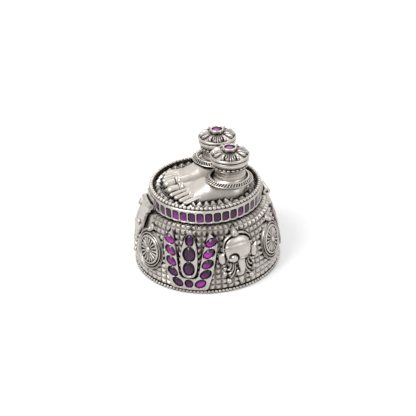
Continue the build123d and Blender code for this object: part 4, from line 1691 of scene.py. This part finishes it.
@dataclass
class Foot:
    """One foot with its toe ring, modelled for the right side and mirrored for the left."""

    side: Side
    deck: float = DECK
    inner_side: float = 0.18
    inner_curve: float = 2.6
    flank_curve: Point = (2.2, 0.6)
    sole: float = -0.3
    sole_inset: float = 0.3
    ankle: Point = ANKLE_AXIS
    shank_profile: Line = (
        (0.0, -0.3), (5.4, -0.3), (5.8, 4.3), (7.4, 6.3), (7.2, 7.0), (6.4, 7.8), (6.0, 9.3), (6.1, 10.6),
        (6.4, 11.6), (0.0, 11.6),
    )
    # Place along the foot, inner height, crest height, crest X and outer X of each section.
    stations: tuple[tuple[float, ...], ...] = (
        (-12.0, 0.1, 0.2, 4.0, 7.0),
        (-11.2, 0.6, 0.9, 4.3, 9.0),
        (-10.2, 1.1, 1.9, 4.6, 11.2),
        (-9.0, 1.3, 3.0, 4.9, 12.9),
        (-7.6, 1.4, 3.9, 5.2, 13.7),
        (-6.0, 1.5, 4.7, 5.6, 13.9),
        (-3.0, 1.9, 5.9, 6.0, 14.1),
        (-1.0, 2.4, 6.7, 6.6, 14.4),
        (3.0, 3.4, 7.0, 8.0, 15.0),
        (8.2, 4.2, 7.0, 8.7, 15.6),
        (11.5, 4.0, 6.4, 8.7, 14.6),
        (14.2, 2.0, 3.6, 8.7, 12.0),
    )
    ring_y: float = -11.0
    ring_width: float = 1.8
    ring_thickness: float = 0.5
    ring_ridge: float = 0.12
    ring_groove: float = 0.15
    ring_seat: float = -0.1
    ring_span: Point = (-12.0, 192.0)
    ring_clear: float = 0.04
    voxel: float = 0.17
    smoothing: int = 4
    smoothing_share: float = 0.5

    def section(self, y: float, inner: float, crest: float, crest_x: float, outer: float) -> Array:
        """Closed section of the instep at a place along the foot.

        Args:
            y: Place along the foot.
            inner: Height of the inner side.
            crest: Height of the crest.
            crest_x: X of the crest.
            outer: X of the outer side.

        Returns:
            Points, as count by three.
        """
        share = np.linspace(0, 1, 16)
        inner_x = self.inner_side + share * (crest_x - self.inner_side)
        inner_z = crest - (crest - inner) * (1 - share) ** self.inner_curve
        flank = np.sin(np.linspace(0, math.pi / 2, 22))[1:]
        outer_x = crest_x + flank * (outer - crest_x)
        outer_z = crest * (1 - flank ** self.flank_curve[0]) ** self.flank_curve[1]
        x = np.concatenate([[self.inner_side], inner_x, outer_x, [outer - self.sole_inset]])
        z = np.concatenate([[self.sole], inner_z, outer_z, [self.sole]])
        return np.column_stack([x, np.full(len(x), y), self.deck + z])

    def instep(self) -> Array:
        """Net of the foot's back, from between the toes to the heel.

        Returns:
            Points, as rows by columns by three.
        """
        stations = np.array(self.stations)
        curves = [smooth_through(stations[:, [0, column]], 90) for column in range(1, stations.shape[1])]
        places = np.linspace(stations[0, 0], stations[-1, 0], 60)
        values = [np.interp(places, curve[:, 0], curve[:, 1]) for curve in curves]
        return capped(np.stack([self.section(*row) for row in np.column_stack([places, *values])]))

    def shank(self) -> Array:
        """Net of the heel and the ankle up to its collar."""
        return turned(np.array(self.shank_profile) + (0, self.deck), 64, self.ankle)

    def mirrored(self, net: Array) -> Array:
        """Mirror a net of the right foot where this is the left one."""
        return net * (self.side.value, 1, 1)

    def foot_piece(self) -> bpy.types.Object:
        """Build the foot as one skin over its instep, toes, heel and ankle.

        Returns:
            The piece.
        """
        draft = Draft()
        toes = [toe.net(self.deck) for toe in (BIG_TOE, *SMALL_TOES)]
        for net in (self.instep(), self.shank(), *toes):
            draft.grid(self.mirrored(net))
        rough = draft.to_object("rough_foot", crease=180)
        remesh = rough.modifiers.new("one_skin", "REMESH")
        remesh.mode = "VOXEL"
        remesh.voxel_size = self.voxel * MM
        smooth = rough.modifiers.new("soft_skin", "SMOOTH")
        smooth.factor = self.smoothing_share
        smooth.iterations = self.smoothing
        depsgraph = bpy.context.evaluated_depsgraph_get()
        mesh = bpy.data.meshes.new_from_object(rough.evaluated_get(depsgraph))
        bpy.data.objects.remove(rough)
        points = np.zeros(len(mesh.vertices) * 3, np.float32)
        mesh.vertices.foreach_get("co", points)
        points[2::3] = np.maximum(points[2::3], self.deck * MM)
        mesh.vertices.foreach_set("co", points)
        mesh.shade_smooth()
        name = f"{self.side.name.lower()}_bare_foot"
        mesh.name = name
        piece = bpy.data.objects.new(name, mesh)
        bpy.context.scene.collection.objects.link(piece)
        return piece

    def ring_piece(self) -> bpy.types.Object:
        """Build the toe ring: a band with a ridge along each edge.

        Returns:
            The piece.
        """
        radius, crest = (float(value) for value in BIG_TOE.at(self.ring_y - BIG_TOE.tip[1]))
        angle = np.linspace(*np.radians(self.ring_span), 40)
        half, thick, seat = self.ring_width / 2, self.ring_thickness, self.ring_seat
        high, low = thick + self.ring_ridge, thick - self.ring_groove
        across = np.array((-half, -half, -half / 2, 0, half / 2, half, half))
        reach = radius + np.array((seat, thick, high, low, high, thick, seat))
        x = BIG_TOE.tip[0] + np.cos(angle)[:, None] * reach
        z = self.deck + crest - radius + np.sin(angle)[:, None] * reach
        y = np.broadcast_to(self.ring_y + across, x.shape)
        net = np.stack([np.maximum(x, self.ring_clear), y, np.maximum(z, self.deck)], axis=-1)
        draft = Draft()
        draft.grid(self.mirrored(capped(net)))
        return draft.to_object(f"{self.side.name.lower()}_ridged_toe_ring", crease=60)

    def build(self, workshop: Workshop) -> None:
        """Make and dress the foot and its ring.

        Args:
            workshop: Workshop that dresses the pieces.
        """
        side = self.side.name.lower()
        workshop.dress(self.foot_piece(), BURNISHED_SILVER, Body.LID, f"{side}_foot")
        workshop.dress(self.ring_piece(), BURNISHED_SILVER, Body.LID, f"{side}_toe_ring")


@dataclass(frozen=True)
class Rib:
    """One rib of a petal: angle from its middle, two ends, and half width and rise of its full end."""

    spread: float
    run: Point
    half: float
    rise: float


# A broad pad, five flutes over it, and a bright drop at each side.
PETAL = (
    Rib(0.0, (2.9, 7.0), 2.3, 0.75),
    Rib(-16.0, (3.0, 6.7), 0.46, 1.3),
    Rib(-8.0, (3.0, 7.3), 0.46, 1.3),
    Rib(0.0, (3.0, 7.5), 0.46, 1.3),
    Rib(8.0, (3.0, 7.3), 0.46, 1.3),
    Rib(16.0, (3.0, 6.7), 0.46, 1.3),
    Rib(-29.0, (4.2, 7.0), 0.75, 1.4),
    Rib(29.0, (4.2, 7.0), 0.75, 1.4),
)


@dataclass
class Ankle:
    """Anklet, beaded collar, petalled cap, bezel and gem over one foot."""

    side: Side
    cutter: StoneCutter
    deck: float = DECK
    axis: Point = ANKLE_AXIS
    anklet_centre: Point = (9.5, 7.4)
    anklet_stretch: Point = (1.0, 1.04)
    anklet_radius: float = 9.3
    anklet_lift: float = 6.7
    anklet_tilt: float = -2.0
    anklet_section: Line = (
        (7.1, -0.9), (8.2, -0.8), (9.0, -0.1), (9.3, 0.05), (9.36, 0.25), (9.24, 0.42), (9.1, 0.46),
        (8.75, 0.3), (7.85, 1.0), (8.0, 1.33), (7.9, 1.5), (7.7, 1.6), (7.45, 1.55), (7.2, 1.35), (7.1, 1.1),
    )
    bar_foot: Point = (9.1, 0.36)
    bar_head: Point = (7.95, 1.26)
    bars: int = 50
    bar_half: float = 0.31
    bar_rise: float = 0.28
    bar_lean: float = 0.9
    bar_sunk: float = -0.3
    collar_base: float = 44.8
    collar_rail: Line = (
        (0.0, 0.0), (6.5, 0.0), (6.8, 0.1), (6.9, 0.3), (6.75, 0.5), (6.3, 0.55), (6.2, 1.6), (0.0, 1.6)
    )
    collar_beads: int = 24
    collar_bead: Point = (0.72, 0.55)
    collar_bead_radius: float = 6.5
    collar_bead_lift: float = 1.05
    collar_bead_neck: float = 0.08
    cap_base: float = 46.4
    cap_height: float = 5.5
    cap_bowl: Line = ((6.2, 0.0), (6.95, 0.2), (7.45, 0.8), (7.7, 1.5), (7.65, 2.2), (7.35, 2.6))
    cap_groove: Point = (6.85, 2.78)
    cap_moulding: Line = ((7.35, 2.95), (7.75, 3.1), (7.92, 3.45), (7.82, 3.85), (7.55, 4.1), (7.3, 4.05))
    cap_field: Line = (
        (2.75, 5.0), (3.3, 4.8), (3.8, 4.8), (5.0, 4.6), (6.2, 4.2), (6.9, 3.8), (7.2, 3.7), (7.6, 3.9)
    )
    field_edge: float = 7.2
    fans: int = 4
    first_fan: float = -15.0
    rib_steps: int = 16
    rib_round: float = 0.84
    rib_end: float = 0.95
    rib_foot: Point = (0.55, 0.5)
    rib_base: float = 0.12
    bezel_radius: float = 2.75
    bezel_section: Line = (
        (2.15, 0.0), (2.65, 0.0), (2.75, 0.6), (2.8, 1.1), (2.67, 1.48), (2.47, 1.6), (2.27, 1.56),
        (2.13, 1.35), (2.05, 0.8),
    )
    gem_radius: float = 2.15
    gem_seat: float = 0.5
    gem_rise: Point = (0.3, 0.95)
    gem_crown: float = 1.1
    gem_light: Point = (0.5, 0.8)
    columns: int = 96

    @property
    def centre(self) -> Point:
        """X and Y of the ankle's axis on this side."""
        return (self.side.value * self.axis[0], self.axis[1])

    def anklet_place(self, x: Array, y: Array, z: Array) -> Array:
        """Place a point of the level anklet on the tilted foot.

        Args:
            x: Places across the anklet.
            y: Places along the foot.
            z: Heights over the anklet's middle.

        Returns:
            The points.
        """
        level = np.stack([x * self.anklet_stretch[0], y * self.anklet_stretch[1], z], axis=-1)
        tilt = np.array(Matrix.Rotation(math.radians(self.anklet_tilt), 3, "X"))
        east, north = self.side.value * self.anklet_centre[0], self.anklet_centre[1]
        return level @ tilt.T + (east, north, self.deck + self.anklet_lift)

    def anklet_piece(self) -> bpy.types.Object:
        """Build the anklet: a channel between two rails, crossed by slanted bars.

        Returns:
            The piece.
        """
        ring = turned(np.array(self.anklet_section), self.columns)
        draft = Draft()
        draft.loop(self.anklet_place(ring[..., 0], ring[..., 1], ring[..., 2]))
        foot = np.array(self.bar_foot)
        face = self.bar_head - foot
        out = np.array((face[1], -face[0])) / np.linalg.norm(face)
        share = np.linspace(0, 1, 5)
        lean = self.bar_lean * (share - 0.5) * self.side.value

        def on_face(x: Array, z: Array, rise: Array) -> Array:
            """Place a point of a bar on the channel's face.

            Args:
                x: Turns round the anklet.
                z: Shares of the way up the face.
                rise: Rise over the surface.

            Returns:
                The points.
            """
            reach = foot[0] + z * face[0] + rise * out[0]
            height = foot[1] + z * face[1] + rise * out[1]
            return self.anklet_place(reach * np.cos(x), reach * np.sin(x), height)

        for bar in range(self.bars):
            turn = FULL_TURN * bar / self.bars + lean / self.anklet_radius
            line = np.stack([turn, share], axis=-1)
            self.add_bar(draft, on_face, line)
        return draft.to_object(f"{self.side.name.lower()}_serrated_anklet", crease=50)

    def add_bar(self, draft: Draft, place: Place, line: Array) -> None:
        """Add one round-topped bar of the anklet along a line of turn and share.

        Args:
            draft: Draft to add to.
            place: Turns a place on the sheet and a rise into a point.
            line: Turn and share along the bar's middle.
        """
        half = self.bar_half / self.anklet_radius
        across = np.linspace(-1, 1, 7)
        turn = line[:, :1] + half * across
        sheet = np.stack([turn, np.broadcast_to(line[:, 1:], turn.shape)], axis=-1)
        rise = np.broadcast_to(self.bar_rise * dome(across * BLUNT), turn.shape)
        sheet, rise = skirted(sheet, rise, self.bar_sunk)
        sheet = capped(sheet)
        rise = np.pad(rise, ((1, 1), (0, 0)), constant_values=self.bar_sunk)
        draft.grid(place(sheet[..., 0], sheet[..., 1], rise))

    def collar_piece(self) -> bpy.types.Object:
        """Build the collar: a plain rail and a row of separate beads.

        Returns:
            The piece.
        """
        draft = Draft()
        rail = np.array(self.collar_rail) + (0, self.collar_base)
        draft.grid(turned(rail, self.columns, self.centre))
        beads = beaded_ring(
            self.collar_bead_radius,
            self.collar_base + self.collar_bead_lift,
            self.collar_bead,
            self.collar_beads,
            self.collar_bead_neck,
        )
        draft.loop(beads + (*self.centre, 0.0))
        return draft.to_object(f"{self.side.name.lower()}_beaded_collar", crease=60)

    def field_rise(self, reach: Array) -> Array:
        """Height of the cap's field over its base."""
        return np.interp(reach, *np.transpose(self.cap_field))

    def petal_place(self, degrees: float) -> Place:
        """Give the mapping from a flat petal to the cap's field.

        Args:
            degrees: Angle of the petal round the cap.

        Returns:
            The mapping.
        """
        turn = math.radians(degrees)

        def on_cap(x: Array, z: Array, rise: Array) -> Array:
            """Place a point of the petal on the field.

            Args:
                x: Places across.
                z: Distances from the cap's axis.
                rise: Rise over the surface.

            Returns:
                The points.
            """
            around = turn + x / np.maximum(z, self.bezel_radius)
            east = self.centre[0] + z * np.cos(around)
            north = self.centre[1] + z * np.sin(around)
            return np.stack([east, north, self.cap_base + self.field_rise(z) + rise], axis=-1)

        return on_cap

    def add_rib(self, draft: Draft, fan: float, rib: Rib) -> None:
        """Add one rib of a petal: narrow at the bezel, with a full round end.

        Args:
            draft: Draft to add to.
            fan: Angle of the petal's middle round the cap, in degrees.
            rib: The rib.
        """
        share = np.linspace(0, 1, self.rib_steps)
        reach = rib.run[0] + share * (rib.run[1] - rib.run[0])
        line = np.stack([math.radians(rib.spread) * reach, reach], axis=-1)
        end = dome(np.clip((share - self.rib_round) / (1 - self.rib_round), 0, self.rib_end))
        wide, high = (foot + (1 - foot) * share for foot in self.rib_foot)
        crown = rib.rise * high * end
        ribbon(draft, self.petal_place(fan), line, rib.half * wide * end, crown, self.rib_base)

    def cap_piece(self) -> bpy.types.Object:
        """Build the cap: a bowl, a round moulding, a field and its fluted petals.

        Returns:
            The piece.
        """
        draft = Draft()
        reach = np.linspace(self.field_edge, self.bezel_radius, 20)
        field = np.column_stack([reach, self.field_rise(reach)])
        profile = np.vstack([
            [(0.0, 0.0)],
            smooth_through(self.cap_bowl, 18),
            [self.cap_groove],
            smooth_through(self.cap_moulding, 18),
            field,
            [(0.0, self.cap_height)],
        ])
        draft.grid(turned(profile + (0, self.cap_base), self.columns, self.centre))
        for number in range(self.fans):
            for rib in PETAL:
                self.add_rib(draft, self.first_fan + number * 360 / self.fans, rib)
        return draft.to_object(f"{self.side.name.lower()}_petalled_cap", crease=50)

    def bezel_piece(self) -> bpy.types.Object:
        """Build the bezel: a rubbed-over collar round the gem.

        Returns:
            The piece.
        """
        profile = np.array(self.bezel_section) + (0, self.cap_base + self.cap_height)
        draft = Draft()
        draft.loop(turned(profile, self.columns, self.centre))
        return draft.to_object(f"{self.side.name.lower()}_rubbed_bezel", crease=50)

    def gem_place(self, x: Array, z: Array, rise: Array) -> Array:
        """Place a point of the gem over its seat."""
        seat = self.cap_base + self.cap_height + self.gem_seat
        return np.stack([x + self.centre[0], z + self.centre[1], seat + rise], axis=-1)

    def gem_piece(self) -> bpy.types.Object:
        """Cut the gem.

        Returns:
            The piece.
        """
        draft = Draft()
        size, middle = 2 * self.gem_radius, (0.0, 0.0)
        girdle = oval(middle, size, size, 0, 12)
        rise, crown, light = self.gem_rise, self.gem_crown, self.gem_light
        self.cutter.cut(draft, self.gem_place, girdle, middle, size, rise, crown, light)
        return draft.to_object(f"{self.side.name.lower()}_cut_gem", crease=12)

    def build(self, workshop: Workshop) -> None:
        """Make and dress the anklet, collar, cap, bezel and gem.

        Args:
            workshop: Workshop that dresses the pieces.
        """
        side = self.side.name.lower()
        workshop.dress(self.anklet_piece(), CAST_SILVER, Body.LID, f"{side}_anklet")
        workshop.dress(self.collar_piece(), CAST_SILVER, Body.LID, f"{side}_ankle_collar")
        workshop.dress(self.cap_piece(), CAST_SILVER, Body.LID, f"{side}_ankle_cap")
        workshop.dress(self.bezel_piece(), CAST_SILVER, Body.LID, f"{side}_gem_bezel")
        workshop.dress(self.gem_piece(), MAGENTA_PASTE, Body.LID, f"{side}_gem")


@dataclass(frozen=True)
class Fittings:
    """Hinge, hasp, neck and floor, which keep the shapes of the frame."""

    edge: float = 0.18
    hinge: tuple[str, ...] = ("hinge_base_leaf", "hinge_lid_leaf")
    hasp: tuple[str, ...] = ("hasp_bracket", "hasp_plate", "hasp_knob", "catch_boss")
    pins: tuple[str, ...] = ("hinge_pin", "hasp_pin")

    def build(self, workshop: Workshop) -> None:
        """Dress the nodes.

        Args:
            workshop: Workshop that dresses the pieces.
        """
        for node in (*self.hinge, *self.hasp, "neck_ring"):
            workshop.dress_node(node, CAST_SILVER, self.edge)
        workshop.dress_node("drum_floor", BLACKENED_SILVER, 0.0)
        for node in self.pins:
            workshop.dress_node(node, DRAWN_STEEL, 0.0)


@dataclass(frozen=True)
class Softbox:
    """One soft lamp: its place to the camera's right and towards it, height, width and watts."""

    name: str
    place: Point
    height: float
    size: float
    power: float


SOFTBOXES = (
    Softbox("key_softbox", (-0.35, 0.25), 0.6, 0.3, 2.8),
    Softbox("fill_softbox", (0.5, 0.35), 0.4, 0.4, 0.8),
    Softbox("back_softbox", (0.15, -0.5), 0.55, 0.4, 1.0),
)


@dataclass
class Studio:
    """Camera, pale floor, soft lights and white surroundings."""

    azimuth: float = 74.7
    elevation: float = 30.22
    roll: float = -2.064
    distance: float = 420.0
    aim_right: float = 0.81
    aim_height: float = 22.1
    lens: float = 87.45
    sensor: float = 36.0
    nearest: float = 0.01
    floor_size: float = 6.0
    floor_colour: str = "#f4f4f4"
    floor_glow: float = 0.3
    room_colour: str = "#ffffff"
    room_seen: float = 1.0
    room_light: float = 0.42
    room_mirrored: Point = (0.68, 1.3)
    bright_side: Point = (0.6, 0.8)
    bright_from: float = 0.95

    def aim(self) -> tuple[Vector, Vector, Vector]:
        """Give the camera's right, up and back directions, without its roll.

        Returns:
            The three directions.
        """
        azimuth, elevation = math.radians(self.azimuth), math.radians(self.elevation)
        right = Vector((math.cos(azimuth), math.sin(azimuth), 0))
        level = Vector((math.sin(azimuth), -math.cos(azimuth), 0))
        back = level * math.cos(elevation) + Vector((0, 0, math.sin(elevation)))
        return right, back.cross(right), back

    def camera(self) -> None:
        """Make the camera at the photograph's viewing angle."""
        right, up, back = self.aim()
        roll = math.radians(self.roll)
        across = right * math.cos(roll) + up * math.sin(roll)
        upright = up * math.cos(roll) - right * math.sin(roll)
        place = right * self.aim_right + Vector((0, 0, self.aim_height)) + back * self.distance
        data = bpy.data.cameras.new("camera")
        data.lens, data.sensor_width = self.lens, self.sensor
        data.clip_start = self.nearest
        camera = bpy.data.objects.new("camera", data)
        turn = Matrix((across, upright, back)).transposed().to_4x4()
        camera.matrix_world = Matrix.Translation(place * MM) @ turn
        bpy.context.scene.collection.objects.link(camera)
        bpy.context.scene.camera = camera

    def lamp(self, box: Softbox) -> None:
        """Hang one soft lamp that points at the box.

        Args:
            box: The lamp.
        """
        right, _, back = self.aim()
        level = Vector((back.x, back.y, 0)).normalized()
        data = bpy.data.lights.new(box.name, "AREA")
        data.energy, data.size = box.power, box.size
        lamp = bpy.data.objects.new(box.name, data)
        lamp.location = right * box.place[0] + level * box.place[1] + Vector((0, 0, box.height))
        aim = Vector((0, 0, self.aim_height * MM)) - lamp.location
        lamp.rotation_euler = aim.to_track_quat("-Z", "Y").to_euler()
        bpy.context.scene.collection.objects.link(lamp)

    def seen_directly(self, tree: bpy.types.NodeTree) -> bpy.types.NodeSocket:
        """Socket that is 1 where the camera, a mirror or a glass sees the surface.

        Args:
            tree: Node tree to add to.

        Returns:
            The socket.
        """
        path = add_node(tree, "ShaderNodeLightPath")
        first = add_node(
            tree,
            "ShaderNodeMath",
            {0: path.outputs["Is Camera Ray"], 1: path.outputs["Is Glossy Ray"]},
            operation="MAXIMUM",
        )
        both = add_node(
            tree,
            "ShaderNodeMath",
            {0: first.outputs[0], 1: path.outputs["Is Transmission Ray"]},
            operation="MAXIMUM",
        )
        return both.outputs[0]

    def floor(self) -> None:
        """Make the pale floor, which keeps the box's shadow."""
        work = bmesh.new()
        bmesh.ops.create_grid(work, x_segments=1, y_segments=1, size=self.floor_size / 2)
        mesh = bpy.data.meshes.new("pale_floor")
        work.to_mesh(mesh)
        work.free()
        floor = bpy.data.objects.new("pale_floor", mesh)
        bpy.context.scene.collection.objects.link(floor)
        material, tree = new_material("matt_white_card")
        matt = add_node(tree, "ShaderNodeBsdfDiffuse", {"Color": linear(self.floor_colour)})
        white = add_node(tree, "ShaderNodeEmission", {"Strength": self.floor_glow})
        shown = add_node(tree, "ShaderNodeAddShader", {0: matt.outputs[0], 1: white.outputs[0]})
        mixed = add_node(
            tree,
            "ShaderNodeMixShader",
            {0: self.seen_directly(tree), 1: matt.outputs[0], 2: shown.outputs[0]},
        )
        add_node(tree, "ShaderNodeOutputMaterial", {"Surface": mixed.outputs[0]})
        mesh.materials.append(material)

    def surroundings(self) -> None:
        """Make the world: white to look at, graded in a mirror, softer as a light."""
        world = bpy.data.worlds.new("white_room")
        world.use_nodes = True
        tree = world.node_tree
        tree.nodes.clear()
        direction = add_node(tree, "ShaderNodeTexCoord").outputs["Generated"]
        _, _, back = self.aim()
        away, above = self.bright_side
        bright_side = Vector((-away * back.x, -away * back.y, above)).normalized()
        facing = add_node(
            tree, "ShaderNodeVectorMath", {0: direction, 1: bright_side}, operation="DOT_PRODUCT"
        ).outputs["Value"]
        dim, bright = self.room_mirrored
        mirrored = add_node(
            tree,
            "ShaderNodeMapRange",
            {"Value": facing, "From Max": self.bright_from, "To Min": dim, "To Max": bright},
        ).outputs["Result"]
        path = add_node(tree, "ShaderNodeLightPath")
        glossy = add_node(
            tree, "ShaderNodeMix", {"Factor": path.outputs["Is Glossy Ray"], 2: self.room_light, 3: mirrored}
        ).outputs[0]
        plain = add_node(
            tree,
            "ShaderNodeMath",
            {0: path.outputs["Is Camera Ray"], 1: path.outputs["Is Transmission Ray"]},
            operation="MAXIMUM",
        ).outputs[0]
        strength = add_node(tree, "ShaderNodeMix", {"Factor": plain, 2: glossy, 3: self.room_seen})
        background = add_node(
            tree,
            "ShaderNodeBackground",
            {"Color": linear(self.room_colour), "Strength": strength.outputs[0]},
        )
        add_node(tree, "ShaderNodeOutputWorld", {"Surface": background.outputs[0]})
        bpy.context.scene.world = world

    def build(self) -> None:
        """Set up the whole studio."""
        bpy.context.scene.view_settings.view_transform = "Standard"
        self.camera()
        self.floor()
        self.surroundings()
        for box in SOFTBOXES:
            self.lamp(box)


def main() -> None:
    """Build every sub-assembly in order."""
    logging.basicConfig(level=logging.INFO, format="%(name)s: %(message)s")
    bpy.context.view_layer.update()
    workshop = Workshop()
    cutter = StoneCutter(STONE_SEED)
    skin = DrumSkin()
    Drum(skin).build(workshop)
    for index in range(SETS):
        start = FIRST_DISC + SET_PITCH * index
        number = index + 1
        Discus(skin, number, start).build(workshop)
        tip = SHORT_FLAME_TIP if index == HINGE_SET else FLAME_TIP
        Namam(skin, number, start + MARK_TURN, cutter, tip).build(workshop)
        Conch(skin, number, start + CONCH_TURN).build(workshop)
    LidRing(cutter).build(workshop)
    for side in Side:
        Foot(side).build(workshop)
        Ankle(side, cutter).build(workshop)
    Fittings().build(workshop)
    Studio().build()


if __name__ == "__main__":
    main()
